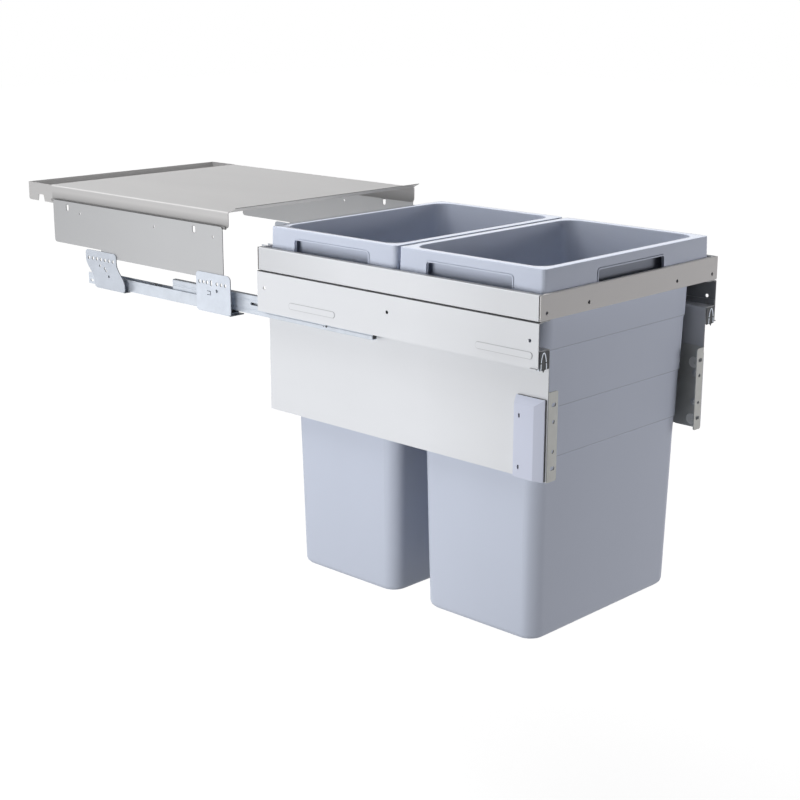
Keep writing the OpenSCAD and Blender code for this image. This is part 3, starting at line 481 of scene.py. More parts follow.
def feed(node: bpy.types.Node, sockets: dict[str | int, object]) -> None:
    """Feeds a node's inputs.

    Args:
        node: The node.
        sockets: A value or another node's output for each input, by the input's name or place.
    """
    for key, value in sockets.items():
        if isinstance(value, Socket):
            node.id_data.links.new(value, node.inputs[key])
        else:
            node.inputs[key].default_value = value


def wire(
    tree: bpy.types.NodeTree, kind: str, sockets: dict[str | int, object], out: str | int = 0, operation: str = ""
) -> Socket:
    """Adds a node to a tree and feeds it.

    Args:
        tree: The node tree.
        kind: The node's type, without its "ShaderNode".
        sockets: What its inputs are fed.
        out: The output that is wanted.
        operation: What a node that calculates works out.

    Returns:
        The output's socket.
    """
    node = tree.nodes.new("ShaderNode" + kind)
    if operation:
        node.operation = operation
    feed(node, sockets)
    return node.outputs[out]


class NodeDesk:
    """A shader tree being wired, with short calls for the nodes that the finishes use."""

    def __init__(self, name: str) -> None:
        """Starts a material with an empty principled surface.

        Args:
            name: The material's name.
        """
        self.material = bpy.data.materials.new(name)
        self.material.use_nodes = True
        self.tree = self.material.node_tree
        self.surface = self.tree.nodes["Principled BSDF"]
        coordinates = self.tree.nodes.new("ShaderNodeTexCoord")
        self.place = coordinates.outputs["Object"]
        self.facing = coordinates.outputs["Normal"]

    def stretched(self, scale: Sequence[float]) -> Socket:
        """Object coordinates, scaled by a Mapping node."""
        return wire(self.tree, "Mapping", {"Scale": scale, "Vector": self.place}, "Vector")

    def noise(self, at: Socket, scale: float, detail: float = 2.0, rough: float = 0.55) -> Socket:
        """A noise pattern's factor."""
        return wire(self.tree, "TexNoise", {"Vector": at, "Scale": scale, "Detail": detail, "Roughness": rough}, "Fac")

    def ramp(self, factor: Socket, *stops: tuple[float, Colour]) -> Socket:
        """Maps a factor to a colour between two stops.

        Args:
            factor: The factor's socket.
            *stops: Places from 0 to 1 with linear colours.

        Returns:
            The colour's socket.
        """
        colour = wire(self.tree, "ValToRGB", {"Fac": factor}, "Color")
        for mark, (place, linear_colour) in zip(colour.node.color_ramp.elements, stops):
            mark.position, mark.color = place, (*linear_colour, 1.0)
        return colour

    def span(self, factor: Socket, low: float, high: float, start: float = 0.3, end: float = 0.7) -> Socket:
        """Maps a factor to a range of numbers."""
        limits = {"From Min": start, "From Max": end, "To Min": low, "To Max": high}
        return wire(self.tree, "MapRange", {"Value": factor, **limits}, "Result")

    def part_of(self, vector: Socket, axis: Axis) -> Socket:
        """One component of a vector."""
        return wire(self.tree, "SeparateXYZ", {"Vector": vector}, axis.value)

    def sum_up(self, operation: str, first: Socket, second: Socket | float = 0.0) -> Socket:
        """A number worked out from one or two others."""
        return wire(self.tree, "Math", {0: first, 1: second}, operation=operation)

    def gap(self, first: Socket, second: float) -> Socket:
        """The difference of two numbers, without sign."""
        return self.sum_up("ABSOLUTE", self.sum_up("SUBTRACT", first, second))

    def toned(self, colour: Socket, mask: Socket, share: float) -> Socket:
        """The colour made lighter or darker by a share where the mask is one."""
        return wire(self.tree, "VectorMath", {0: colour, "Scale": self.faded(mask, share)}, "Vector", "SCALE")

    def faded(self, mask: Socket, share: float, start: float = 1.0) -> Socket:
        """A number that goes from a start to a share as the mask goes from nothing to one."""
        return self.span(mask, start, share, 0.0, 1.0)

    def bump(self, height: Socket, depth: float, strength: float, **under: Socket) -> Socket:
        """A bump from a height in metres, laid over another Normal if one is given."""
        return wire(self.tree, "Bump", {"Height": height, "Distance": depth, "Strength": strength, **under}, "Normal")


def linear(srgb: Sequence[int]) -> Colour:
    """Turns 8-bit display values into linear light."""
    steps = [value / 255 for value in srgb]
    return tuple(s / 12.92 if s <= 0.04045 else ((s + 0.055) / 1.055) ** 2.4 for s in steps)


def shade(colour: Colour, share: float) -> Colour:
    """The colour made lighter or darker by a share."""
    return tuple(min(value * share, 1.0) for value in colour)


@dataclass(frozen=True)
class Gate:
    """A soft threshold on where a surface lies or on which way it looks.

    Attributes:
        look: What is read.
        axis: The axis that is read.
        shut: The value at which the gate is shut.
        open: The value at which it is open.
    """

    look: Look
    axis: Axis
    shut: float
    open: float

    def mask(self, desk: NodeDesk) -> Socket:
        """Wires the gate.

        Args:
            desk: Where the finish is wired.

        Returns:
            The gate's socket, one where it is open.
        """
        part = desk.part_of(desk.place if self.look in (Look.PLACE, Look.DISTANCE) else desk.facing, self.axis)
        if self.look in (Look.DISTANCE, Look.EITHER_WAY):
            part = desk.sum_up("ABSOLUTE", part)
        if self.shut < self.open:
            return desk.span(part, 0.0, 1.0, self.shut, self.open)
        return desk.span(part, 1.0, 0.0, self.open, self.shut)


def all_open(desk: NodeDesk, gates: Sequence[Gate], mask: Socket | None = None) -> Socket:
    """Multiplies gates.

    Args:
        desk: Where the finish is wired.
        gates: The gates.
        mask: A mask that is already there.

    Returns:
        The product's socket, one where every gate is open and the mask is one.
    """
    for gate in gates:
        mask = gate.mask(desk) if mask is None else desk.sum_up("MULTIPLY", mask, gate.mask(desk))
    return mask


@dataclass(frozen=True)
class Tone:
    """A painted shade or highlight: a lighter or darker tone of a finish behind a row of gates.

    Attributes:
        share: The tone, as a share of the finish's colour.
        gates: The gates, all of which must be open.
    """

    share: float
    gates: tuple[Gate, ...]

    def lay(self, desk: NodeDesk, colour: Socket) -> Socket:
        """The colour with the tone laid over it."""
        return desk.toned(colour, all_open(desk, self.gates), self.share)


@dataclass(frozen=True)
class StepLine:
    """A painted shadow line at the height where a wall steps in.

    Attributes:
        share: The line's tone.
        height: Its height.
    """

    share: float
    height: float

    def lay(self, desk: NodeDesk, colour: Socket) -> Socket:
        """The colour with the line laid over it."""
        gap = desk.gap(desk.part_of(desk.place, Axis.Z), self.height)
        return desk.toned(colour, desk.span(gap, 1.0, 0.0, 0.0003, 0.0009), self.share)


@dataclass(frozen=True)
class PressedLines:
    """Painted shade lines along the outlines of two long pressed beads, one behind the other.

    Attributes:
        share: The lines' tone.
        middle: The place half-way between the beads.
        apart: Distance of each bead's middle from there.
        height: The beads' height.
        half_l: Half a bead's length.
        radius: The radius of its round ends.
        gates: Gates that keep the lines on their sheet.
    """

    share: float
    middle: float
    apart: float
    height: float
    half_l: float
    radius: float
    gates: tuple[Gate, ...]

    def lay(self, desk: NodeDesk, colour: Socket) -> Socket:
        """Lays the lines over a colour.

        Args:
            desk: Where the finish is wired.
            colour: The colour under the lines.

        Returns:
            The toned colour's socket.
        """
        from_bead = desk.gap(desk.gap(desk.part_of(desk.place, Axis.Y), self.middle), self.apart)
        past_end = desk.sum_up("MAXIMUM", desk.sum_up("SUBTRACT", from_bead, self.half_l - self.radius), 0.0)
        up = desk.sum_up("SUBTRACT", desk.part_of(desk.place, Axis.Z), self.height)
        squares = desk.sum_up("ADD", desk.sum_up("MULTIPLY", past_end, past_end), desk.sum_up("MULTIPLY", up, up))
        gap = desk.gap(desk.sum_up("SQRT", squares), self.radius)
        line = desk.span(gap, 1.0, 0.0, 0.0002, 0.0006)
        return desk.toned(colour, all_open(desk, self.gates, line), self.share)


def above(height: float) -> Gate:
    """A gate that opens above a height."""
    return Gate(Look.PLACE, Axis.Z, height - 0.0001, height + 0.0001)


def below(height: float) -> Gate:
    """A gate that opens below a height."""
    return Gate(Look.PLACE, Axis.Z, height + 0.0001, height - 0.0001)


def fading(start: float, end: float) -> Gate:
    """A gate that opens slowly from one place along Y to another."""
    return Gate(Look.PLACE, Axis.Y, start, end)


def between(axis: Axis, low: float, high: float, soft: float = 0.0005) -> tuple[Gate, Gate]:
    """Two gates that leave a stretch of an axis open."""
    return Gate(Look.PLACE, axis, low - soft, low + soft), Gate(Look.PLACE, axis, high + soft, high - soft)


def on_both_sides(share: float, near: float, far: float, inward: bool, *more: Gate) -> tuple[Tone, ...]:
    """A tone on walls across X, on both sides of the unit.

    Args:
        share: The tone.
        near: The least distance of the walls from the unit's middle.
        far: Their greatest distance.
        inward: Whether the walls look towards the middle.
        *more: Further gates.

    Returns:
        The right and the left side's tone.
    """
    tones = []
    for side in (Side.RIGHT, Side.LEFT):
        sign = side.value
        look = -sign if inward else sign
        place = between(Axis.X, *sorted((sign * near, sign * far)))
        tones.append(Tone(share, (*place, Gate(Look.ONE_WAY, Axis.X, 0.4 * look, 0.7 * look), *more)))
    return tuple(tones)


# Level faces, faces that lean back, and faces across Y and across X
LEVEL = Gate(Look.EITHER_WAY, Axis.Z, 0.8, 0.9)
LEANING = Gate(Look.EITHER_WAY, Axis.Z, 0.3, 0.6)
ACROSS = Gate(Look.EITHER_WAY, Axis.Y, 0.95, 0.99)
ACROSS_X = Gate(Look.EITHER_WAY, Axis.X, 0.9, 0.97)
# Painted shade on the cut edges of a sheet that stands across X, and on the tops of a profile that runs along Y
EDGE_SHADE = Tone(0.42, (Gate(Look.EITHER_WAY, Axis.X, 0.35, 0.25),))
PROFILE_TOP_SHADE = Tone(0.5, (LEVEL,))


@dataclass(frozen=True)
class Finish:
    """What all finishes share.

    Attributes:
        name: The finish's and its material's name.
        srgb: Its display colour.
        tones: Painted shade, painted highlights and painted shadow lines laid over the colour.
    """

    name: str
    srgb: tuple[int, int, int]
    tones: tuple[Tone | StepLine | PressedLines, ...] = field(default=(), kw_only=True)

    def coloured(self, desk: NodeDesk, drift: Socket, start: float, low: float, high: float) -> Socket:
        """Wires the colour.

        Args:
            desk: Where the finish is wired.
            drift: The pattern that the colour drifts with.
            start: The pattern's value, under a half, from which the colour drifts.
            low: The colour's share at one end of the drift.
            high: Its share at the other end.

        Returns:
            The socket of the drifting colour with the tones laid over it.
        """
        base = linear(self.srgb)
        colour = desk.ramp(drift, (start, shade(base, low)), (1.0 - start, shade(base, high)))
        for tone in self.tones:
            colour = tone.lay(desk, colour)
        return colour


@dataclass(frozen=True)
class PaintedSheet(Finish):
    """Sheet steel with a fine satin powder coat.

    Attributes:
        roughness: The coat's middle roughness.
        drift: How far the colour drifts over the sheet.
        metallic: The share of metal flakes in the coat.
    """

    roughness: float = 0.46
    drift: float = 0.02
    metallic: float = 0.0

    def material(self) -> bpy.types.Material:
        """Wires the coat: a slow drift of tone under a fine orange-peel grain.

        Returns:
            The finish's material.
        """
        desk = NodeDesk(self.name)
        slow = desk.noise(desk.stretched((1.0, 0.35, 1.0)), 9.0)
        fine = desk.noise(desk.place, 1400.0)
        peel = desk.bump(desk.noise(desk.place, 520.0), 0.0001, 0.22)
        feed(desk.surface, {
            "Base Color": self.coloured(desk, slow, 0.3, 1 - self.drift, 1 + self.drift),
            "Roughness": desk.span(fine, self.roughness - 0.05, self.roughness + 0.07),
            "Normal": desk.bump(fine, 0.00004, 0.25, Normal=peel),
            "Metallic": self.metallic,
            "Specular IOR Level": 0.45,
        })
        return desk.material


@dataclass(frozen=True)
class ZincPlate(Finish):
    """Bright zinc plate on pressed or rolled steel.

    Attributes:
        metallic: How much it mirrors rather than scatters.
        along: The stretch of its drawing lines along each axis.
    """

    metallic: float = 0.55
    along: tuple[float, float, float] = (1.0, 0.04, 1.0)

    def material(self) -> bpy.types.Material:
        """Wires the plate: faint drawing lines, a cloudy spangle and small changes of gloss.

        Returns:
            The finish's material.
        """
        desk = NodeDesk(self.name)
        lines = desk.noise(desk.stretched(self.along), 900.0, 3.0, 0.6)
        cloud = desk.noise(desk.place, 60.0, 3.0)
        feed(desk.surface, {
            "Base Color": self.coloured(desk, cloud, 0.25, 0.93, 1.04),
            "Roughness": desk.span(lines, 0.3, 0.48),
            "Normal": desk.bump(lines, 0.00005, 0.3),
            "Metallic": self.metallic,
        })
        return desk.material


@dataclass(frozen=True)
class MouldedPlastic(Finish):
    """Injection-moulded polypropylene with a fine eroded grain.

    Attributes:
        roughness: The plastic's middle roughness.
        grain: The size of its grain, as cells per metre.
        rim: Height in metres above which faces that look up get a painted highlight, with more metal and less
            roughness.
    """

    roughness: float = 0.5
    grain: float = 1500.0
    rim: float | None = None

    def material(self) -> bpy.types.Material:
        """Wires the plastic: an even colour with a slight flow drift, and the mould's fine grain.

        Returns:
            The finish's material.
        """
        desk = NodeDesk(self.name)
        flow = desk.noise(desk.stretched((1.0, 1.0, 0.3)), 7.0)
        grain = desk.noise(desk.place, self.grain)
        colour = self.coloured(desk, flow, 0.3, 0.985, 1.015)
        gloss = desk.span(grain, self.roughness - 0.05, self.roughness + 0.06)
        if self.rim is not None:
            # Level faces near the top of the rim get a painted highlight: a lighter colour, more metal and less
            # roughness.
            rim_highlight = all_open(desk, (Gate(Look.EITHER_WAY, Axis.Z, 0.5, 0.9), above(self.rim)))
            feed(desk.surface, {"Metallic": desk.faded(rim_highlight, 0.8, 0.0)})
            colour = desk.toned(colour, rim_highlight, 1.3)
            gloss = desk.sum_up("MULTIPLY", gloss, desk.faded(rim_highlight, 0.35))
        normal = desk.bump(grain, 0.00005, 0.3)
        feed(desk.surface, {"Base Color": colour, "Roughness": gloss, "Normal": normal, "Specular IOR Level": 0.5})
        return desk.material


FINISHES = {finish.name: finish for finish in (
    PaintedSheet("frame_paint", (229, 231, 235), metallic=0.25, tones=(
        # Painted shade on the beads' outlines, the rails' tops, the front ends, the fold under the rails (a painted
        # shadow line) and the panels' lower lips
        PressedLines(0.66, 0.23515, 0.17765, -0.0613, 0.0473, 0.0046, (Gate(Look.DISTANCE, Axis.X, 0.1999, 0.2001),)),
        Tone(0.45, (LEVEL, above(0.0155))),
        Tone(0.5, (ACROSS, fading(0.0095, 0.009))),
        Tone(0.12, (LEANING, *between(Axis.Z, -0.0192, -0.0168, 0.0001))),
        Tone(0.3, (LEANING, below(-0.0765))),
        # Painted shade on the inner sides of the upper and the lower panels, in the bins' shadow
        *on_both_sides(0.33, 0.19, 0.2125, True, below(-0.018)),
        *on_both_sides(0.72, 0.17, 0.19, True, below(-0.018)),
        # Painted shade: all upright sides darker towards the door, and the rails darker towards the rear
        Tone(0.91, (ACROSS_X, fading(0.22, 0.07))),
        Tone(0.86, (ACROSS_X, fading(0.34, 0.5), above(-0.0165))),
    )),
    # A painted highlight on the crossbars' top folds
    PaintedSheet("crossbar_paint", (226, 224, 223), drift=0.015, tones=(Tone(1.2, (LEVEL, above(0.0155))),)),
    PaintedSheet("cover_paint", (200, 199, 199), 0.42, metallic=0.25, tones=(
        # Painted shade on the front lip and on the skirts towards their lower edge, and a painted highlight on their
        # rolled upper edge
        Tone(0.4, (Gate(Look.EITHER_WAY, Axis.Y, 0.7, 0.85), above(0.0658))),
        Tone(0.55, (
            Gate(Look.EITHER_WAY, Axis.X, 0.3, 0.6), Gate(Look.PLACE, Axis.Z, 0.052, 0.036), fading(1.039, 1.036),
        )),
        Tone(1.35, (Gate(Look.EITHER_WAY, Axis.X, 0.2, 0.35), LEANING, above(0.055), fading(1.04, 1.036))),
    )),
    PaintedSheet("plate_paint", (198, 199, 201), 0.4, metallic=0.65, tones=(
        # Painted shade on the cut edges, a painted shadow on the strip close under the cover, and painted shade on the
        # plate towards the rear
        EDGE_SHADE,
        Tone(0.2, (Gate(Look.EITHER_WAY, Axis.X, 0.4, 0.5), above(0.0386))),
        Tone(0.86, (fading(0.72, 1.03),)),
    )),
    # Painted shade on the profiles' tops, and a painted highlight on their end faces
    ZincPlate("zinc_steel", (219, 226, 236), tones=(PROFILE_TOP_SHADE, Tone(1.12, (ACROSS,)))),
    # Painted shade on the cut edges, and on the rear brackets
    ZincPlate("bracket_zinc", (221, 228, 239), 0.45, tones=(EDGE_SHADE, Tone(0.85, (fading(0.7, 0.85),)))),
    ZincPlate("door_bracket_steel", (191, 192, 189), 0.3, (1.0, 1.0, 0.05)),
    ZincPlate("fixing_steel", (190, 193, 197), 0.8),
    ZincPlate("cam_zinc", (228, 229, 227), 0.1),
    MouldedPlastic("bin_plastic", (204, 211, 227), rim=0.0445, tones=(
        # Painted shadow lines at the wall's steps, a painted shadow on the front bin's collar behind the crossbar, and
        # painted shade on the body behind the side openings and on the insides; the rim's top gets a painted highlight
        *(StepLine(0.74, height) for height in (-0.064, -0.1434, -0.2127)),
        Tone(0.55, (Gate(Look.ONE_WAY, Axis.Y, -0.4, -0.7), *between(Axis.Y, 0.0095, 0.05), above(-0.0156))),
        *on_both_sides(0.92, 0.14, 0.1815, False, above(-0.0156)),
        *on_both_sides(0.94, 0.12, 0.19, True),
    )),
    MouldedPlastic("cover_plastic", (208, 213, 230), 0.42, tones=(
        # Painted shade on the cap's front bevel
        Tone(0.88, (Gate(Look.ONE_WAY, Axis.Y, -0.1, -0.2),)),
    )),
    MouldedPlastic("dark_plastic", (52, 54, 58), 0.42),
    MouldedPlastic("cage_plastic", (226, 226, 222), 0.45),
)}


class FinishShelf:
    """Hands out each finish's material and makes it once."""

    def __init__(self) -> None:
        """Starts with no material made."""
        self._made: dict[str, bpy.types.Material] = {}

    def get(self, slot: str) -> bpy.types.Material:
        """The material of a slot, made on first use."""
        if slot not in self._made:
            self._made[slot] = FINISHES[slot].material()
        return self._made[slot]

    def dress(self, slot: str, *stems: str) -> None:
        """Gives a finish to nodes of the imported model.

        Args:
            slot: The finish.
            *stems: Node names, or the names of left and right pairs without their ending.
        """
        names = [n for stem in stems for n in (stem, stem + "_left", stem + "_right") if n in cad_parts]
        for name in names:
            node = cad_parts[name]
            node.data.materials.clear()
            node.data.materials.append(self.get(slot))
        log.info("%s on %s", slot, ", ".join(names))


@dataclass
class FixedCover:
    """The fixed cover with its tray and skirts, and the side plates that carry it."""

    shelf: FinishShelf

    def build(self) -> None:
        """Dresses the cover and its plates."""
        self.shelf.dress("cover_paint", "lid_sheet", "lid_tray", "lid_skirt")
        self.shelf.dress("plate_paint", "lid_side_plate")


@dataclass
class CabinetSide:
    """The brackets, channels and rivets that are screwed to the cabinet."""

    shelf: FinishShelf

    def build(self) -> None:
        """Dresses the brackets, channels and rivets."""
        self.shelf.dress("bracket_zinc", "front_bracket", "rear_bracket")
        self.shelf.dress("zinc_steel", "cabinet_profile")
        self.shelf.dress("fixing_steel", "profile_rivets")


@dataclass
class PairedPieces:
    """Pieces that come in a right-hand and a left-hand copy.

    Attributes:
        shelf: Where finishes come from.
    """

    shelf: FinishShelf

    def fit_pair(self, piece: Workpiece, slot: str, body: str, node: str = "", finish: str = "") -> None:
        """Fits a right-hand piece and its mirrored twin.

        Args:
            piece: The right-hand piece.
            slot: The record's material slot.
            body: The body's name, with {side} for the side.
            node: The name of the pair of nodes that it stands for, without its ending.
            finish: The finish, where it is not the slot's own.
        """
        twin = piece.mirrored(piece.obj.name.replace("right", "left"))
        for one, side in ((piece, Side.RIGHT), (twin, Side.LEFT)):
            nodes = (f"{node}_{side.word}",) if node else ()
            one.fit_out(body.format(side=side.word), slot, self.shelf.get(finish or slot), *nodes)
            log.info("%s: %d faces", one.obj.name, len(one.obj.data.polygons))


@dataclass
class Runners(PairedPieces):
    """The telescopic profiles with their cages, catches and end stops.

    Attributes:
        centre_x: Distance of a runner's middle from the unit's middle.
        mouth_y: Place of the drawer profile's mouth.
        mouth_half: Half the width of the dark block over the mouth, which stands in for the shadow there.
        mouth_in: Distance of the block's inner edge from the unit's middle, at the panel.
        mouth_top: Height of the block's top.
        mouth_bottom: Height of its lower edge.
        mouth_corner: Radius of its upper corners.
        collar_y: The block's front and back, from the mouth.
        arch_half: Half the width of the bright arch in the mouth.
        arch_top: Height of its crown.
        arch_spring: Height at which its legs begin.
        arch_bottom: Height of the legs' ends.
        arch_band: Width of the arch's band.
        arch_back: The arch's back, from the mouth.
        arch_t: Its thickness.
        leg_gap: Heights between which the legs are parted.
        core_half: Half the width of the leaf-shaped plug inside the arch.
        core_top: Height of the plug's upper point.
        core_bottom: Height of its lower point.
        core_rise: How steep the leaf's upper and lower ends are, for each half of its width.
        core_y: The plug's front and back, from the mouth.
        middle_y: Place of the middle profile's front end.
        middle_half: Half the width of its opening.
        middle_low: Height of its opening's lower side.
        middle_high: Height of its opening's upper side.
        middle_out: Half the middle profile's width.
        plug_y: Front and back of the plug in it, from its front end.
        stud_at: The studs' places along Y and Z, with their radii.
        tip_l: How far the plug's tip stands out in front of it.
        tip_up: How far the tip's middle lies above the opening's lower side.
        catch_y: Place of the closing catch.
        catch_in: Distance of the catch's inner face from the unit's middle.
        catch_out: Distance of its outer face.
        catch_base: Height of the catch's base.
        catch_top: Height of its head's top.
        catch_half: Half the width of its stem.
        catch_head: Height of its head, and the head's width as a share of the stem's.
        catch_foot: The same of its foot.
    """

    centre_x: float = 0.1908
    mouth_y: float = 0.001
    mouth_half: float = 0.0079
    mouth_in: float = 0.1790
    mouth_top: float = -0.0557
    mouth_bottom: float = -0.0798
    mouth_corner: float = 0.003
    collar_y: tuple[float, float] = (-0.0006, -0.0001)
    arch_half: float = 0.0062
    arch_top: float = -0.0568
    arch_spring: float = -0.0770
    arch_bottom: float = -0.0798
    arch_band: float = 0.0016
    arch_back: float = -0.0002
    arch_t: float = 0.0008
    leg_gap: tuple[float, float] = (-0.0712, -0.0697)
    core_half: float = 0.0042
    core_top: float = -0.0600
    core_bottom: float = -0.0832
    core_rise: tuple[float, float] = (0.0125, 0.0075)
    core_y: tuple[float, float] = (-0.0007, 0.0001)
    middle_y: float = 0.298
    middle_half: float = 0.0030
    middle_low: float = -0.0862
    middle_high: float = -0.0606
    middle_out: float = 0.0046
    plug_y: tuple[float, float] = (-0.0012, 0.008)
    stud_at: tuple[tuple[float, float, float], ...] = ((0.3891, -0.0822, 0.0016), (0.3948, -0.0829, 0.0007))
    tip_l: float = 0.008
    tip_up: float = 0.006
    catch_y: float = 0.775
    catch_in: float = 0.1959
    catch_out: float = 0.1970
    catch_base: float = -0.0766
    catch_top: float = -0.0704
    catch_half: float = 0.0018
    catch_head: tuple[float, float] = (0.0019, 2.6)
    catch_foot: tuple[float, float] = (0.0014, 3.2)

    def mouth_collar(self) -> Workpiece:
        """Models the dark block round the drawer profile's mouth, which stands in for the shadow there.

        Returns:
            The piece of the right side, in object mode.
        """
        x, y = self.centre_x, self.mouth_y
        low = (self.mouth_in, y + self.collar_y[0], self.mouth_bottom)
        high = (x + self.mouth_half, y + self.collar_y[1], self.mouth_top)
        piece = Workpiece.block("stop_collar_right", low, high)
        piece.pick(lambda co, no: co.z > self.mouth_top - TOUCH and abs(no.y) > FACING, Part.EDGES)
        piece.round_edges(self.mouth_corner, 8)
        piece.pick(lambda co, no: no.y < -FACING)
        piece.inset(0.0009, -0.0002)
        return piece.finished(0.00015)

    def mouth_arch(self) -> Workpiece:
        """Models the bright arch that guides the middle profile into the mouth.

        Returns:
            The piece of the right side, in object mode.
        """
        x, y = self.centre_x, self.mouth_y + self.arch_back
        piece = Workpiece.disc("stop_arch_right", (x, y, self.arch_spring), self.arch_half, Axis.Y, 40)
        piece.pick_all()
        piece.scale((1, 1, (self.arch_top - self.arch_spring) / self.arch_half), (x, y, self.arch_spring))
        piece.trim((x, y, self.arch_spring), (0, 0, -1))
        piece.pick(lambda co, no: abs(co.z - self.arch_spring) < TOUCH and abs(no.x) > FACING, Part.EDGES)
        piece.extrude((0, 0, self.arch_bottom - self.arch_spring))
        piece.weld()
        piece.pick_all()
        piece.inset(self.arch_band)
        piece.drop_faces()
        piece.pick(lambda co, no: co.z < self.arch_bottom + self.arch_band)
        piece.drop_faces()
        for height in self.leg_gap:
            piece.pick_all()
            piece.cut((x, y, height), (0, 0, 1))
        piece.pick(lambda co, no: self.leg_gap[0] < co.z < self.leg_gap[1])
        piece.drop_faces()
        piece.pick_all()
        piece.extrude((0, -self.arch_t, 0))
        return piece.finished(0.0002)

    def mouth_core(self) -> Workpiece:
        """Models the leaf-shaped plug inside the arch.

        Returns:
            The piece of the right side, in object mode.
        """
        x, y = self.centre_x, self.mouth_y
        half, low, high = self.core_half, self.core_bottom, self.core_top
        front, back = (y + run for run in self.core_y)
        piece = Workpiece.block("stop_core_right", (x - half, front, low), (x + half, back, high))
        for s in (-1, 1):
            for up, end, rise in ((1, high, self.core_rise[0]), (-1, low, self.core_rise[1])):
                piece.trim((x, y, end), Vector((s * rise, 0, up * half)).normalized())
        piece.pick(lambda co, no: abs(no.y) > FACING, Part.EDGES)
        piece.round_edges(0.0008)
        piece.pick(lambda co, no: no.y < -FACING)
        piece.inset(0.0011, -0.0004)
        return piece.finished()

    def front_plug(self) -> Workpiece:
        """Models the plug in the middle profile's front end, with its blunt tip.

        Returns:
            The piece of the right side, in object mode.
        """
        x, y, tip_z = self.centre_x, self.middle_y, self.middle_low + self.tip_up
        front, back = (y + run for run in self.plug_y)
        low = (x - self.middle_half, front, self.middle_low)
        high = (x + self.middle_half, back, self.middle_high)
        piece = Workpiece.block("middle_plug_right", low, high)
        piece.pick(lambda co, no: no.y < -FACING)
        piece.swell(0.0)
        piece.scale((0.8, 1, 0.3), (x, front, tip_z))
        piece.extrude((0, -self.tip_l, 0))
        piece.scale((0.4, 1, 0.35), (x, y - self.tip_l, tip_z))
        return piece.finished(0.0004, 30)

    def studs(self) -> Workpiece:
        """Models the two small dark studs on the middle profile's outer side.

        Returns:
            The piece of the right side, in object mode.
        """
        x = self.centre_x + self.middle_out
        pieces = []
        for i, (y, z, r) in enumerate(self.stud_at):
            rings = [Station(x - 0.0003, r), Station(x + 0.0003, r), Station(x + 0.0005, r * 0.7)]
            pieces.append(Workpiece.turned(f"middle_studs_right{'_b' * i}", (x, y, z), rings, 24))
        pieces[0].join(*pieces[1:])
        pieces[0].smooth()
        return pieces[0]

    def catch(self) -> Workpiece:
        """Models the closing catch: a wide foot, a stem and a head that the drawer's pin meets.

        Returns:
            The piece of the right side, in object mode.
        """
        y, half = self.catch_y, self.catch_half
        low = (self.catch_in, y - half, self.catch_base + self.catch_foot[0])
        high = (self.catch_out, y + half, self.catch_top - self.catch_head[0])
        piece = Workpiece.block("catch_right_detail", low, high)
        for up, (run, reach) in ((1, self.catch_head), (-1, self.catch_foot)):
            piece.pick(lambda co, no: no.z * up > FACING)
            piece.extrude((0, 0, 0))
            piece.scale((1, reach, 1), (0, y, 0))
            piece.extrude((0, 0, up * run))
        return piece.finished(0.0003)

    def build(self) -> None:
        """Models the stops, plugs and catches, and dresses the profiles."""
        # A dark block stands in for the shadow in the drawer profile's mouth.
        self.fit_pair(self.mouth_collar(), "dark_plastic", "drawer")
        self.fit_pair(self.mouth_arch(), "zinc_steel", "drawer")
        self.fit_pair(self.mouth_core(), "dark_plastic", "drawer", "profile_end_stop")
        self.fit_pair(self.front_plug(), "dark_plastic", "middle_{side}")
        self.fit_pair(self.studs(), "dark_plastic", "middle_{side}")
        self.fit_pair(self.catch(), "dark_plastic", "catch_{side}", "closing_catch")
        self.shelf.dress("zinc_steel", "middle_profile", "drawer_profile")
        self.shelf.dress("cage_plastic", "upper_ball_cage", "lower_ball_cage")
        self.shelf.dress("dark_plastic", "closing_catch", "profile_end_stop")


@dataclass
class DrawerFrame(PairedPieces):
    """The rim's crossbars and rails with the side panels below them.

    Attributes:
        bead_y: Middles of the two pressed beads along an upper side panel.
        bead_z: Height of their middle in the CAD.
        bead_half: Half a bead's length and half its height, with a little air.
        bead_drop: How far below that the photograph shows them.
        bead_grow: How much higher the photograph shows one.
    """

    bead_y: tuple[float, float] = (0.0575, 0.413)
    bead_z: float = -0.0506
    bead_half: tuple[float, float] = (0.0485, 0.0047)
    bead_drop: float = 0.0107
    bead_grow: float = 1.15

    def panel_skins(self) -> None:
        """Copies an upper side panel and moves its beads to the photograph's height."""
        long, high = self.bead_half
        panel = Workpiece.of_node("panel_skin_right", "upper_side_panel_right")
        for y in self.bead_y:
            panel.pick(lambda co, no: abs(co.y - y) < long and abs(co.z - self.bead_z) < high, Part.POINTS)
            panel.scale((1, 1, self.bead_grow), (0, y, self.bead_z))
            panel.move((0, 0, -self.bead_drop))
        panel.smooth(20)
        self.fit_pair(panel, "frame_paint", "drawer", "upper_side_panel")

    def build(self) -> None:
        """Dresses the frame and lowers the beads of its panels."""
        self.shelf.dress("crossbar_paint", "front_crossbar", "rear_crossbar")
        self.shelf.dress("frame_paint", "side_rail", "lower_side_panel")
        self.panel_skins()


